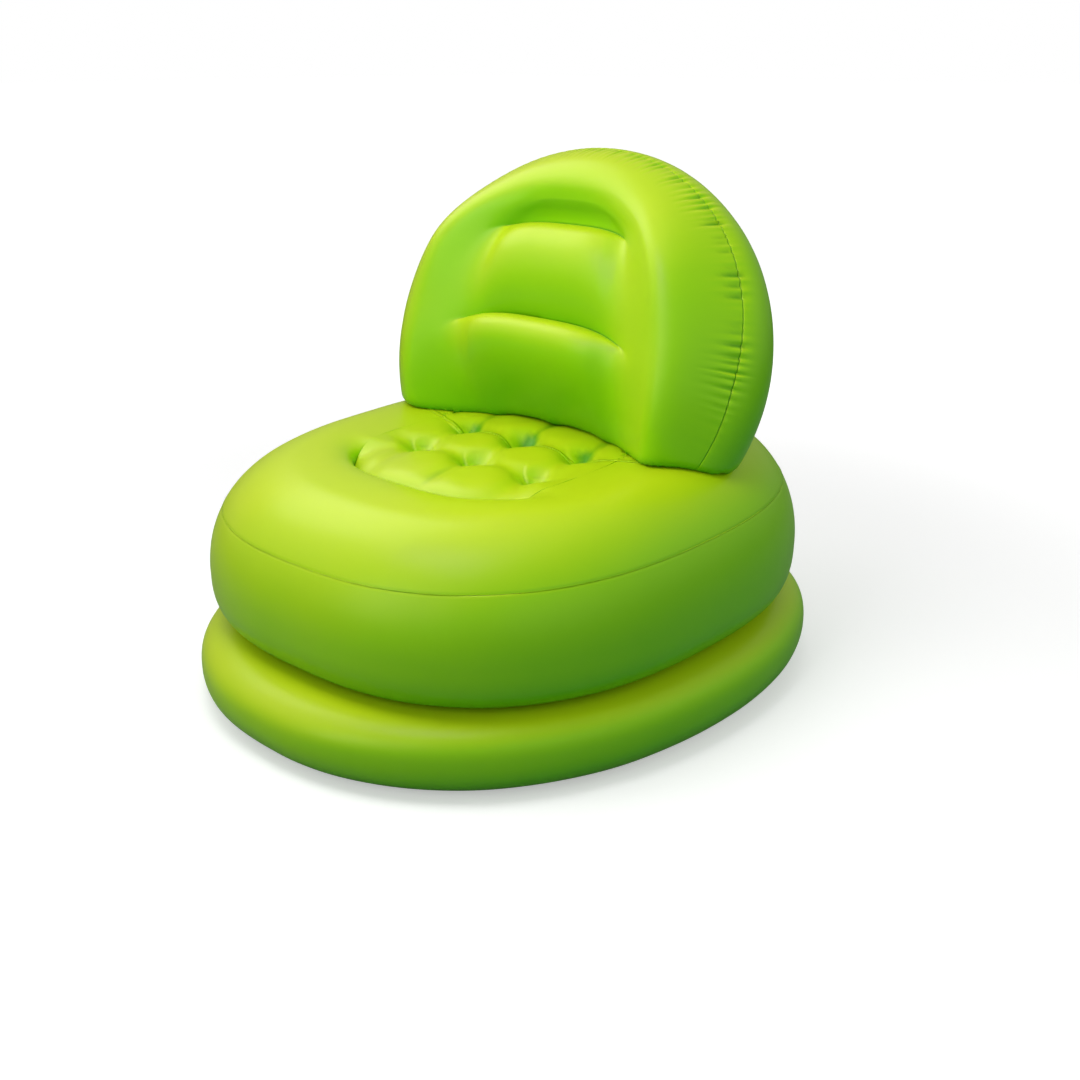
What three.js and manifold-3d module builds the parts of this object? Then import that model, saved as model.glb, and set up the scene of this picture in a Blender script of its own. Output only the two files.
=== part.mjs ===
import * as THREE from 'three';
import { mergeVertices } from 'three/addons/utils/BufferGeometryUtils.js';
import Module from 'manifold-3d';

// An inflatable lounge armchair, welded up from thin vinyl sheets.
// Millimetres, +Z up, the sitter faces -Y, and the origin is on the floor under the middle of the base.
// The skins are hollow: each is one sheet with its welded hems, and the air is left out.
// The seat body, the base ring and the backrest are lofted from ovals, and the tufts,
// beams and posts inside are the ties that give the air its shape.

const wasm = await Module();
wasm.setup();

// Overall size
const overallWidth = 840;
const overallDepth = 990;
const overallHeight = 760;

// Vinyl sheet, and how two sheets are welded
const sheetWall = 0.45;
const weldGap = 0.35;
const weldHem = 8;

// Base ring: the lower oval tube that lies on the floor
const baseRoundness = 2.17;
const baseTubeHeight = 110;
const baseFloorInset = 60;
const baseTopFullness = 2.7;
const baseFootFullness = 2.2;

// Seat body: the upper oval tube, and the rim that goes round the well
const seatWidth = 794;
const seatDepth = 880;
const seatForward = 9;
const seatRoundness = 2.47;
const seatWidestHeight = 190;
const seamHeight = 282;
const rimHeight = 349;
const rimInset = 132;
const rimFullness = 2.06;
const rimRise = 15;
const waistInset = 70;
const waistFullness = 3;

// Well: the sunken oval with the tufted panel
const wellWidth = 372;
const wellDepth = 364;
const wellForward = 40;
const wellRoundness = 3.2;
const wellLipFullness = 3.4;
const lipDropFront = 31;
const lipDropSide = 5;
const lipSidePower = 1.6;
const lipFrontFrom = 0.4;
const lipFrontFull = 0.75;
const cushionTopSide = 334;
const cushionCrown = 10;
const cushionBackRise = 9;
const cushionRiseFrom = -60;
const cushionRiseTo = 110;
const cushionFrontSharpness = 10;
const cushionSideSharpness = 3;

// Tufts: two rows of three, each tied down by a post
const tuftPitchX = 117;
const tuftPitchY = 102;
const tuftForward = 30;
const tuftDepth = 25;
const tuftMiddleDepth = 37;
const tuftSpread = 27;
const tuftPostRadius = 14;
const basePostRadius = 20;

// Air ports in the sheets that divide a chamber
const dividerPortRadius = 24;
const dividerPortAcross = 220;
const dividerPortAlong = 260;
const beamPortRadius = 16;
const beamPortSpacing = 92;
const archPortHeight = 70;

// Backrest: a leaning egg, whose front is an arch tube round two bolsters and a D-shaped recess
const backWidth = 704;
const backThickness = 274;
const backFootHeight = 145;
const backLean = THREE.MathUtils.degToRad(17.7);
const backSetBack = 132;
const backSeamForward = 45;
const backSeamForwardTop = 25;
const archOuterFullness = 0.6;
const archUnderFullness = 0.2;
const archInnerSpread = 70;
const archTopSpread = 20;
const archUnderSpread = 10;
const archInnerSlope = 0.3;

// Heights on the backrest's front are shares of half its length, up the lean from its middle
const archInnerHalfWidth = 192;
const archInnerRoundness = 3;
const archInnerFoot = -0.53;
const archInnerTop = 0.74;
const recessShoulder = 0.66;
const archInnerPlaces = [
  { up: -0.53, forward: 33 }, { up: 0.04, forward: 100 },
  { up: 0.53, forward: 92 }, { up: 0.74, forward: 76 },
];
const bolsterFoot = { middleUp: -0.38, endUp: -0.47, middleForward: -8 };
const lowerCrease = { middleUp: 0.144, endUp: 0.03, middleForward: 74 };
const upperCrease = { middleUp: 0.6, endUp: 0.515, middleForward: 52 };
const creasePower = 3;
const lowerBolsterBulge = 66;
const upperBolsterBulge = 48;
const swellLowPower = 0.9;
const swellHighPower = 0.42;
const lowerFadePower = 2.2;
const upperFadePower = 2;
const recessDish = 4;
const beamEndShare = 0.94;

// Valves: a welded cup, a stem that pushes in flush, a plug on a loose tether ring, and a check flap
const valveRingRadius = 13;
const valveRingThickness = 1.2;
const valveCupRadius = 9.6;
const valveCupWall = 1;
const valveCupDepth = 16;
const valveStemRadius = 5;
const valveStemBore = 3.6;
const valveTravel = 12;
const valveLipWidth = 1;
const valveLipHeight = 1.2;
const valveStemSink = 1;
const valvePlugTravel = 9;
const valvePlugHeadThickness = 1.6;
const valvePlugStubLength = 6;
const valvePlugStubWall = 1.1;
const valveTetherWidth = 1.6;
const valveTetherThickness = 1;
const valveTetherStrap = 3.2;
const valveFlapThickness = 0.8;
const valveRunningGap = 0.3;
const backValveAboveRim = 20;
const backValveBehind = THREE.MathUtils.degToRad(-21);
const seatValveTurn = THREE.MathUtils.degToRad(68);
const seatValveHeight = 205;

// How finely the sheets are faceted
const turnCount = 40;
const wellPatchColumns = 10;
const wellPatchRows = 10;
const bolsterColumns = 12;
const lowerBolsterRows = 6;
const upperBolsterRows = 5;
const recessRows = 3;
const beamSteps = 6;
const valveSteps = 16;
const postSteps = 12;
const portSteps = 12;
const tuftStepsAcross = 4;
const tuftStepsAlong = 6;
const mergeTolerance = 1e-4;
const steepestMiterShare = 0.5;
const seamProbe = 0.01;

const skin = new THREE.MeshStandardMaterial({ color: 0x95c800, roughness: 0.38, metalness: 0 });
const innerSheet = new THREE.MeshStandardMaterial({ color: 0xa9d63a, roughness: 0.5, metalness: 0 });
const valveVinyl = new THREE.MeshStandardMaterial({ color: 0xe9eee4, roughness: 0.35, metalness: 0 });

const armchair = new THREE.Group();
const mix = THREE.MathUtils.lerp;
const quarterTurn = Math.PI / 2;
const fullTurn = 2 * Math.PI;

function addPiece(name, geometry, material, parent = armchair) {
  const piece = new THREE.Mesh(geometry, material);
  piece.name = name;
  parent.add(piece);
  return piece;
}

// Solids, joined and cut

function solidOf(geometry, placing = new THREE.Matrix4()) {
  const plain = geometry.index ? geometry.toNonIndexed() : geometry.clone();
  const bare = new THREE.BufferGeometry().setAttribute('position', plain.getAttribute('position'));
  const merged = mergeVertices(bare.applyMatrix4(placing), mergeTolerance);
  return new wasm.Manifold(new wasm.Mesh({
    numProp: 3,
    vertProperties: merged.attributes.position.array,
    triVerts: new Uint32Array(merged.index.array),
  }));
}

function geometryOf(solid) {
  const made = solid.getMesh();
  const geometry = new THREE.BufferGeometry();
  geometry.setAttribute('position', new THREE.BufferAttribute(new Float32Array(made.vertProperties), 3));
  geometry.setIndex([...made.triVerts]);
  return geometry;
}

// A cut can leave crumbs beside the piece, so only the largest body is kept.
function largestBody(solid) {
  const bodies = solid.decompose();
  return bodies.reduce((best, body) => (body.volume() > best.volume() ? body : best));
}

// Surfaces: points and triangles, which are thickened into sheets or closed into solids

function joinSurfaces(...surfaces) {
  const points = [];
  const faces = [];
  const known = new Map();
  for (const surface of surfaces) {
    const renumbered = surface.points.map((point) => {
      const key = point.toArray().map((value) => Math.round(value / mergeTolerance)).join(' ');
      if (!known.has(key)) {
        known.set(key, points.length);
        points.push(point);
      }
      return known.get(key);
    });
    for (const face of surface.faces) {
      const corners = face.map((corner) => renumbered[corner]);
      if (new Set(corners).size === corners.length) faces.push(corners);
    }
  }
  return { points, faces };
}

// Rows are closed loops of points, and a pole closes the first or the last of them.
function ringSurface(rows, firstPole, lastPole) {
  const count = rows[0].length;
  const points = rows.flat();
  const faces = [];
  for (let row = 0; row + 1 < rows.length; row += 1) {
    for (let turn = 0; turn < count; turn += 1) {
      const next = (turn + 1) % count;
      const a = row * count + turn;
      const b = row * count + next;
      faces.push([a, b, b + count], [a, b + count, a + count]);
    }
  }
  const lastRow = (rows.length - 1) * count;
  for (let turn = 0; turn < count; turn += 1) {
    const next = (turn + 1) % count;
    if (firstPole) faces.push([next, turn, points.length]);
    if (lastPole) faces.push([lastRow + turn, lastRow + next, points.length + (firstPole ? 1 : 0)]);
  }
  if (firstPole) points.push(firstPole);
  if (lastPole) points.push(lastPole);
  return { points, faces };
}

function gridSurface(rows) {
  const count = rows[0].length;
  const faces = [];
  for (let row = 0; row + 1 < rows.length; row += 1) {
    for (let column = 0; column + 1 < count; column += 1) {
      const a = row * count + column;
      faces.push([a, a + 1, a + 1 + count], [a, a + 1 + count, a + count]);
    }
  }
  return { points: rows.flat(), faces };
}

// The border of a grid as one loop, from the middle of its last column and on past its last row.
function borderLoop(rows) {
  const lastRow = rows.length - 1;
  const lastColumn = rows[0].length - 1;
  const start = lastRow / 2;
  const loop = [];
  for (let row = start; row < lastRow; row += 1) loop.push(rows[row][lastColumn]);
  for (let column = lastColumn; column > 0; column -= 1) loop.push(rows[lastRow][column]);
  for (let row = lastRow; row > 0; row -= 1) loop.push(rows[row][0]);
  for (let column = 0; column < lastColumn; column += 1) loop.push(rows[0][column]);
  for (let row = 0; row < start; row += 1) loop.push(rows[row][lastColumn]);
  return loop;
}

// Each point moves along the mean direction of its faces, far enough to keep the faces' distance.
function offsetPoints({ points, faces }, distance) {
  const sums = points.map(() => new THREE.Vector3());
  const touching = points.map(() => []);
  for (const [a, b, c] of faces) {
    const normal = new THREE.Triangle(points[a], points[b], points[c]).getNormal(new THREE.Vector3());
    for (const [corner, left, right] of [[a, b, c], [b, c, a], [c, a, b]]) {
      const toLeft = points[left].clone().sub(points[corner]);
      const toRight = points[right].clone().sub(points[corner]);
      sums[corner].addScaledVector(normal, toLeft.angleTo(toRight));
      touching[corner].push(normal);
    }
  }
  return points.map((point, index) => {
    const direction = sums[index].normalize();
    const flattest = Math.min(...touching[index].map((normal) => normal.dot(direction)));
    return point.clone().addScaledVector(direction, distance / Math.max(flattest, steepestMiterShare));
  });
}

const offsetSurface = (surface, distance) => (
  { points: offsetPoints(surface, distance), faces: surface.faces });

function geometryOfSurface({ points, faces }) {
  const geometry = new THREE.BufferGeometry().setFromPoints(points);
  geometry.setIndex(faces.flat());
  return geometry;
}

// A sheet: the surface is its outer face, and the wall goes inwards.
function sheetGeometry(surface) {
  const inner = offsetPoints(surface, -sheetWall);
  const shift = surface.points.length;
  const faces = [...surface.faces];
  const open = new Map();
  for (const [a, b, c] of surface.faces) {
    faces.push([a + shift, c + shift, b + shift]);
    for (const [from, to] of [[a, b], [b, c], [c, a]]) {
      if (!open.delete(`${to} ${from}`)) open.set(`${from} ${to}`, [from, to]);
    }
  }
  for (const [from, to] of open.values()) {
    faces.push([to, from, from + shift], [to, from + shift, to + shift]);
  }
  return geometryOfSurface({ points: [...surface.points, ...inner], faces });
}

// Ovals: superellipses in plan

const oval = (halfWidth, halfDepth, y, power) => ({ halfWidth, halfDepth, y, power });

const mixOval = (from, to, share) => oval(
  mix(from.halfWidth, to.halfWidth, share),
  mix(from.halfDepth, to.halfDepth, share),
  mix(from.y, to.y, share),
  mix(from.power, to.power, share),
);

const insetOval = (shape, inset) => oval(
  shape.halfWidth - inset, shape.halfDepth - inset, shape.y, shape.power);

function ovalPoint(shape, turn, height) {
  const across = Math.cos(turn);
  const along = Math.sin(turn);
  return new THREE.Vector3(
    shape.halfWidth * Math.sign(across) * Math.abs(across) ** (2 / shape.power),
    shape.y + shape.halfDepth * Math.sign(along) * Math.abs(along) ** (2 / shape.power),
    height,
  );
}

const turns = Array.from({ length: turnCount }, (_, index) => (fullTurn * index) / turnCount);
const ovalRow = (shape, height) => turns.map((turn) => ovalPoint(shape, turn, height));

// Shares for the steps of a quarter of a superellipse: how far across and how far up
const quarterStep = (angle, power) => ({
  across: 1 - Math.cos(angle) ** (2 / power),
  up: Math.sin(angle) ** (2 / power),
});

function quarterSteps(count, power, from = 0, to = quarterTurn) {
  return Array.from({ length: count + 1 }, (_, index) => quarterStep(mix(from, to, index / count), power));
}

// The ovals that the skins are lofted through
const baseMiddle = baseTubeHeight / 2;
const baseOval = oval(overallWidth / 2, overallDepth / 2, 0, baseRoundness);
const footOval = insetOval(baseOval, baseFloorInset);
const seatOval = oval(seatWidth / 2, seatDepth / 2, -seatForward, seatRoundness);
const rimOval = insetOval(seatOval, rimInset);
const wellOval = oval(wellWidth / 2, wellDepth / 2, -wellForward, wellRoundness);
const waistOval = insetOval(seatOval, waistInset);
const waistHeight = baseTubeHeight;
const dividerBottom = waistHeight - sheetWall / 2;
const dividerTop = waistHeight + sheetWall / 2;

// The seat stands a little higher at its back than at its front.
function liftSeat(point) {
  const along = (point.y - seatOval.y) / seatOval.halfDepth;
  const up = THREE.MathUtils.clamp((point.z - dividerTop) / (rimHeight - waistHeight), 0, 1);
  return point.setZ(point.z + rimRise * along * up);
}

const seatRow = (shape, height) => ovalRow(shape, height).map(liftSeat);

// Base ring

function makeBaseBottomPanel() {
  const outline = new THREE.Shape(turns.map((turn) => ovalPoint(footOval, turn, 0)));
  return new THREE.ExtrudeGeometry(outline, { depth: sheetWall, bevelEnabled: false });
}

function makeBaseRingWall() {
  const foot = sheetWall + weldGap;
  const top = dividerBottom - weldGap;
  const footRows = quarterSteps(4, baseFootFullness).reverse()
    .map(({ across, up }) => ovalRow(mixOval(baseOval, footOval, across), mix(baseMiddle, foot, up)));
  const topRows = quarterSteps(5, baseTopFullness).slice(1)
    .map(({ across, up }) => ovalRow(mixOval(baseOval, waistOval, across), mix(baseMiddle, top, up)));
  return sheetGeometry(ringSurface([
    ovalRow(insetOval(footOval, weldHem), foot),
    ...footRows,
    ...topRows,
    ovalRow(insetOval(waistOval, weldHem), top),
  ]));
}

// The divider closes the waist, and its ports let air pass between the base ring and the seat.
function makeWaistDivider() {
  const outline = new THREE.Shape(turns.map((turn) => ovalPoint(waistOval, turn, 0)));
  for (const side of [-1, 1]) {
    for (const end of [-1, 1]) {
      const port = new THREE.Path();
      const x = side * dividerPortAcross;
      const y = waistOval.y + end * (dividerPortAlong / 2);
      port.absarc(x, y, dividerPortRadius, 0, fullTurn);
      outline.holes.push(port);
    }
  }
  const plate = new THREE.ExtrudeGeometry(outline, {
    depth: sheetWall, bevelEnabled: false, curveSegments: portSteps });
  return plate.translate(0, 0, dividerBottom);
}

// Seat body

const seamUp = (seamHeight - seatWidestHeight) / (rimHeight - seatWidestHeight);
const seamAngle = Math.asin(seamUp ** (rimFullness / 2));
const rimStep = ({ across, up }) => ({
  shape: mixOval(seatOval, rimOval, across), height: mix(seatWidestHeight, rimHeight, up) });
const waistStep = ({ across, up }) => ({
  shape: mixOval(seatOval, waistOval, across), height: mix(seatWidestHeight, dividerTop + weldGap, up) });

const lowerSteps = [
  ...quarterSteps(5, waistFullness).reverse().map(waistStep),
  ...quarterSteps(3, rimFullness, 0, seamAngle).slice(1).map(rimStep),
];
const upperSteps = quarterSteps(5, rimFullness, seamAngle, quarterTurn).map(rimStep);
const seamOval = upperSteps[0].shape;
const rowOfStep = ({ shape, height }) => seatRow(shape, height);

// The well's lip is crisp and deep along the front, and shallow beside and behind the sitter.
function frontShare(x, y) {
  const forward = (wellOval.y - y) / Math.hypot(x, y - wellOval.y);
  return THREE.MathUtils.smoothstep(forward, lipFrontFrom, lipFrontFull);
}

const wellEdgeHeight = (x, y) => rimHeight - mix(lipDropSide, lipDropFront, frontShare(x, y));

function lipRow(share) {
  const { across: frontFall, up: frontReach } = quarterStep(quarterTurn * share, wellLipFullness);
  return turns.map((turn) => {
    const edge = ovalPoint(wellOval, turn, 0);
    const front = frontShare(edge.x, edge.y);
    const point = ovalPoint(rimOval, turn, 0).lerp(edge, mix(share, frontReach, front));
    const fall = mix(share ** lipSidePower, frontFall, front);
    return liftSeat(point.setZ(mix(rimHeight, wellEdgeHeight(edge.x, edge.y), fall)));
  });
}

const lipRows = [0.3, 0.6, 0.85, 1].map(lipRow);
const wellHemRow = (shape) => turns.map((turn) => {
  const edge = ovalPoint(shape, turn, 0);
  return liftSeat(edge.setZ(wellEdgeHeight(edge.x, edge.y) - weldHem));
});

function makeSeatLowerWall() {
  const steps = [...lowerSteps];
  const seam = { shape: seamOval, height: seamHeight - weldGap / 2 };
  steps[steps.length - 1] = seam;
  return sheetGeometry(ringSurface([
    seatRow(insetOval(waistOval, weldHem), dividerTop + weldGap),
    ...steps.map(rowOfStep),
    seatRow(insetOval(seamOval, weldHem), seam.height),
  ]));
}

function makeSeatUpperWall() {
  const seam = seamHeight + weldGap / 2;
  return sheetGeometry(ringSurface([
    seatRow(insetOval(seamOval, weldHem), seam),
    seatRow(seamOval, seam),
    ...upperSteps.slice(1).map(rowOfStep),
    ...lipRows,
    wellHemRow(wellOval),
  ]));
}

// Tufted panel: a crowned oval, pulled down at the tufts

const tuftPlaces = [-1, 1].flatMap((row) => [-1, 0, 1].map((column) => (
  new THREE.Vector2(column * tuftPitchX, row * (tuftPitchY / 2) - tuftForward))));

function cushionPoint(x, y, share) {
  const crown = cushionCrown * (1 - (2 * x / wellWidth) ** 2);
  const rise = cushionBackRise * THREE.MathUtils.smoothstep(y, cushionRiseFrom, cushionRiseTo);
  const sharpness = mix(cushionSideSharpness, cushionFrontSharpness, frontShare(x, y));
  const height = mix(cushionTopSide + crown + rise, wellEdgeHeight(x, y), share ** sharpness);
  const pulls = tuftPlaces.map((place) => {
    const away = Math.hypot(x - place.x, y - place.y);
    const depth = place.x === 0 ? tuftMiddleDepth : tuftDepth;
    return depth * Math.exp(-((away / tuftSpread) ** 2));
  });
  const pull = pulls.reduce((sum, value) => sum + value, 0);
  return liftSeat(new THREE.Vector3(x, y, height - pull * (1 - share ** 6)));
}

function ovalShare(shape, x, y) {
  const across = Math.abs(x / shape.halfWidth) ** shape.power;
  const along = Math.abs((y - shape.y) / shape.halfDepth) ** shape.power;
  return (across + along) ** (1 / shape.power);
}

// The patch's lines pass through the tufts.
function cushionSurface(edgeOval) {
  const stepX = tuftPitchX / tuftStepsAcross;
  const stepY = tuftPitchY / tuftStepsAlong;
  const rows = Array.from({ length: wellPatchRows + 1 }, (_, row) => (
    Array.from({ length: wellPatchColumns + 1 }, (_, column) => {
      const x = (column - wellPatchColumns / 2) * stepX;
      const y = (row - wellPatchRows / 2) * stepY - tuftForward;
      return cushionPoint(x, y, ovalShare(edgeOval, x, y));
    })));
  const border = borderLoop(rows);
  const ringShares = [0, 0.3, 0.58, 0.82, 1];
  const rings = ringShares.map((share) => border.map((point, index) => {
    const edge = ovalPoint(edgeOval, turns[index], 0);
    const x = mix(edge.x, point.x, share);
    const y = mix(edge.y, point.y, share);
    return cushionPoint(x, y, Math.min(ovalShare(edgeOval, x, y), 1));
  }));
  return { rings, surface: joinSurfaces(ringSurface(rings), gridSurface(rows)) };
}

function makeTuftedPanel() {
  const edgeOval = insetOval(wellOval, weldGap);
  const { rings, surface } = cushionSurface(edgeOval);
  return sheetGeometry(joinSurfaces(ringSurface([wellHemRow(edgeOval), rings[0]]), surface));
}

// The seat as one closed surface, for what stands on it and what is inside it
function closedSeat() {
  const { surface } = cushionSurface(wellOval);
  const walls = ringSurface(
    [...[...lowerSteps, ...upperSteps.slice(1)].map(rowOfStep), ...lipRows],
    new THREE.Vector3(0, waistOval.y, dividerTop + weldGap),
  );
  return joinSurfaces(walls, surface);
}

const seatSurface = closedSeat();
const seatClearSolid = solidOf(geometryOfSurface(offsetSurface(seatSurface, weldGap)));
const seatChamber = solidOf(geometryOfSurface(offsetSurface(seatSurface, -(sheetWall + weldGap))));

// Posts: rolled tubes of sheet that tie the tufts to the divider and the divider to the floor

function tubePost(radius, bottom, top) {
  const profile = [
    new THREE.Vector2(radius - sheetWall, bottom),
    new THREE.Vector2(radius, bottom),
    new THREE.Vector2(radius, top),
    new THREE.Vector2(radius - sheetWall, top),
    new THREE.Vector2(radius - sheetWall, bottom),
  ];
  return new THREE.LatheGeometry(profile, postSteps).rotateX(quarterTurn);
}

function makeTuftPost(place) {
  const whole = tubePost(tuftPostRadius, dividerTop + weldGap, rimHeight);
  const placing = new THREE.Matrix4().makeTranslation(place.x, place.y, 0);
  return geometryOf(largestBody(solidOf(whole, placing).intersect(seatChamber)));
}

function makeBasePost(place) {
  const post = tubePost(basePostRadius, sheetWall + weldGap, dividerBottom - weldGap);
  return post.translate(place.x, place.y, 0);
}

// Backrest

const back = new THREE.Group();
const backReach = (overallHeight - backFootHeight) / 2;
const backLeanReach = (backThickness / 2) * Math.sin(backLean);
const halfBack = {
  across: backWidth / 2,
  up: Math.sqrt(backReach ** 2 - backLeanReach ** 2) / Math.cos(backLean),
  forward: backThickness / 2,
};
const backCentreHeight = overallHeight - backReach;
back.position.set(0, backSetBack, backCentreHeight);
back.rotation.x = quarterTurn - backLean;
back.updateMatrixWorld(true);
armchair.add(back);

// In the backrest's frame X is across, Y is up the lean and Z is forward, towards the sitter.

// The arch's inner line is a superellipse that stands on the bolsters' foot.
const archRise = archInnerTop - archInnerFoot;
const superCircle = (share) => (
  (1 - THREE.MathUtils.clamp(share, 0, 1) ** archInnerRoundness) ** (1 / archInnerRoundness));
const archAcross = (up) => archInnerHalfWidth * superCircle((up - archInnerFoot) / archRise);
const archUp = (across) => archInnerFoot + archRise * superCircle(Math.abs(across) / archInnerHalfWidth);

// A smooth curve through the places of the inner line
const archForward = (up) => archInnerPlaces.reduce((sum, place) => {
  const others = archInnerPlaces.filter((other) => other !== place);
  return sum + others.reduce((term, other) => (term * (up - other.up)) / (place.up - other.up), place.forward);
}, 0);

const frontPoint = (across, up, forward) => new THREE.Vector3(across, up * halfBack.up, forward);
const creaseUp = (crease, side) => mix(crease.middleUp, crease.endUp, Math.abs(side) ** creasePower);
const creaseForward = (crease, side) => (
  mix(crease.middleForward, archForward(crease.endUp), Math.abs(side) ** creasePower));

const swellCrest = swellLowPower / (swellLowPower + swellHighPower);
const swellShape = (share) => share ** swellLowPower * (1 - share) ** swellHighPower;
const swellAt = (share) => swellShape(share) / swellShape(swellCrest);

const sideShares = Array.from({ length: bolsterColumns + 1 }, (_, column) => (2 * column) / bolsterColumns - 1);
const rowShares = (count) => Array.from({ length: count + 1 }, (_, row) => row / count);

// A bolster between two creases: its ends follow the arch's inner line.
function bolsterRows(from, to, bulge, fadePower, count) {
  return rowShares(count).map((share) => sideShares.map((side) => {
    const endUp = mix(from.endUp, to.endUp, share);
    const middle = mix(from.middleForward, to.middleForward, share);
    const bend = Math.abs(side) ** creasePower;
    const fade = Math.cos(quarterTurn * Math.abs(side) ** fadePower) ** 2;
    return frontPoint(
      side * archAcross(endUp),
      mix(creaseUp(from, side), creaseUp(to, side), share),
      mix(middle, archForward(endUp), bend) + bulge * swellAt(share) * fade,
    );
  }));
}

// The D-shaped recess reaches from the upper crease to the top of the arch's inner line.
function recessPatchRows(count) {
  return rowShares(count).map((share) => sideShares.map((side) => {
    const highUp = archUp(side * archAcross(recessShoulder));
    const dish = recessDish * 4 * share * (1 - share) * (1 - side ** 2);
    return frontPoint(
      side * archAcross(mix(upperCrease.endUp, recessShoulder, share)),
      mix(creaseUp(upperCrease, side), highUp, share),
      mix(creaseForward(upperCrease, side), archForward(highUp), share) - dish,
    );
  }));
}

const frontRows = [
  ...bolsterRows(bolsterFoot, lowerCrease, lowerBolsterBulge, lowerFadePower, lowerBolsterRows),
  ...bolsterRows(lowerCrease, upperCrease, upperBolsterBulge, upperFadePower, upperBolsterRows).slice(1),
  ...recessPatchRows(recessRows).slice(1),
];
const archLoop = borderLoop(frontRows);

// The perimeter seam lies forward of the backrest's widest line.
function seamPlace(turn) {
  const forward = mix(backSeamForward, backSeamForwardTop, Math.max(Math.sin(turn), 0));
  return { forward, angle: Math.asin(forward / halfBack.forward) };
}

const eggPoint = (turn, angle) => new THREE.Vector3(
  halfBack.across * Math.cos(angle) * Math.cos(turn),
  halfBack.up * Math.cos(angle) * Math.sin(turn),
  halfBack.forward * Math.sin(angle),
);

const seamTurns = archLoop.map((point) => (
  Math.atan2(point.y / halfBack.up, point.x / halfBack.across)));
const seamRow = (shift) => seamTurns.map((turn) => {
  const point = eggPoint(turn, seamPlace(turn).angle);
  return point.setZ(point.z + shift);
});
const hemRow = (row) => row.map((point) => {
  const reach = Math.hypot(point.x, point.y);
  const share = (reach - weldHem) / reach;
  return new THREE.Vector3(point.x * share, point.y * share, point.z);
});

// The arch tube's section runs from the seam, square to it, to the inner line, at the slope there.
function archSection(seamPoint, index) {
  const inner = archLoop[index];
  const turn = seamTurns[index];
  const under = Math.max(-Math.sin(turn), 0) ** 2;
  const { angle } = seamPlace(turn);
  const alongEgg = eggPoint(turn, angle + seamProbe).sub(eggPoint(turn, angle)).normalize();
  const outward = new THREE.Vector3(seamPoint.x - inner.x, seamPoint.y - inner.y, 0).normalize();
  const fullness = seamPoint.distanceTo(inner) * mix(archOuterFullness, archUnderFullness, under);
  const topShare = THREE.MathUtils.smoothstep(inner.y / halfBack.up, archInnerSlope, archInnerTop);
  const spread = mix(mix(archInnerSpread, archTopSpread, topShare), archUnderSpread, under);
  const innerPull = inner.clone().addScaledVector(outward, spread);
  innerPull.z += spread * archInnerSlope * (1 - under);
  return new THREE.CubicBezierCurve3(
    seamPoint, seamPoint.clone().addScaledVector(alongEgg, fullness), innerPull, inner);
}

function frontSurface(shift) {
  const seam = seamRow(shift);
  const sections = seam.map(archSection);
  const tubeShares = [0, 0.1, 0.22, 0.37, 0.55, 0.77, 1];
  const tubeRows = tubeShares.map((share) => sections.map((section) => section.getPoint(share)));
  return { seam, surface: joinSurfaces(ringSurface(tubeRows), gridSurface(frontRows)) };
}

function rearSurface(shift) {
  const seam = seamRow(shift);
  const rearShares = [0.12, 0.27, 0.42, 0.56, 0.68, 0.79, 0.9];
  const rows = rearShares.map((share) => seamTurns.map((turn) => (
    eggPoint(turn, mix(-quarterTurn, seamPlace(turn).angle, share)))));
  return { seam, surface: ringSurface([...rows, seam], eggPoint(0, -quarterTurn)) };
}

const backSurface = joinSurfaces(frontSurface(0).surface, rearSurface(0).surface);
const backOffset = (distance) => solidOf(
  geometryOfSurface(offsetSurface(backSurface, distance)), back.matrixWorld);
const backChamber = backOffset(-(sheetWall + weldGap)).subtract(seatClearSolid);

// Pieces of the backrest are cut where they stand, then given back their place in the leaning group.
const intoBack = back.matrixWorld.clone().invert();
const backPieceGeometry = (solid) => geometryOf(largestBody(solid)).applyMatrix4(intoBack);
const restOnSeat = (geometry) => solidOf(geometry, back.matrixWorld).subtract(seatClearSolid);

function makeBackFrontPanel() {
  const { seam, surface } = frontSurface(weldGap / 2);
  const hem = ringSurface([hemRow(seam), seam]);
  return backPieceGeometry(restOnSeat(sheetGeometry(joinSurfaces(hem, surface))));
}

function backRearSolid() {
  const { seam, surface } = rearSurface(-weldGap / 2);
  const hem = ringSurface([seam, hemRow(seam)]);
  return restOnSeat(sheetGeometry(joinSurfaces(surface, hem)));
}

// A beam is a strip of sheet on edge, from the front panel to the rear panel, with air ports.
function beamSolid(path) {
  const band = path.map((point, index) => {
    const before = path[Math.max(index - 1, 0)];
    const after = path[Math.min(index + 1, path.length - 1)];
    const along = new THREE.Vector2(after.x - before.x, after.y - before.y).normalize();
    return new THREE.Vector2(-along.y, along.x).multiplyScalar(sheetWall / 2);
  });
  const left = path.map((point, index) => new THREE.Vector2(point.x, point.y).add(band[index]));
  const right = path.map((point, index) => new THREE.Vector2(point.x, point.y).sub(band[index]));
  const strip = new THREE.ExtrudeGeometry(new THREE.Shape([...right, ...left.reverse()]), {
    depth: backThickness * 2, bevelEnabled: false });
  return solidOf(strip.translate(0, 0, -backThickness), back.matrixWorld).intersect(backChamber);
}

function portSolid(centre, axis) {
  const port = new THREE.CylinderGeometry(beamPortRadius, beamPortRadius, backWidth, portSteps);
  const turned = new THREE.Quaternion().setFromUnitVectors(new THREE.Vector3(0, 1, 0), axis);
  const placing = new THREE.Matrix4().compose(centre, turned, new THREE.Vector3(1, 1, 1));
  return solidOf(port, new THREE.Matrix4().multiplyMatrices(back.matrixWorld, placing));
}

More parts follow.
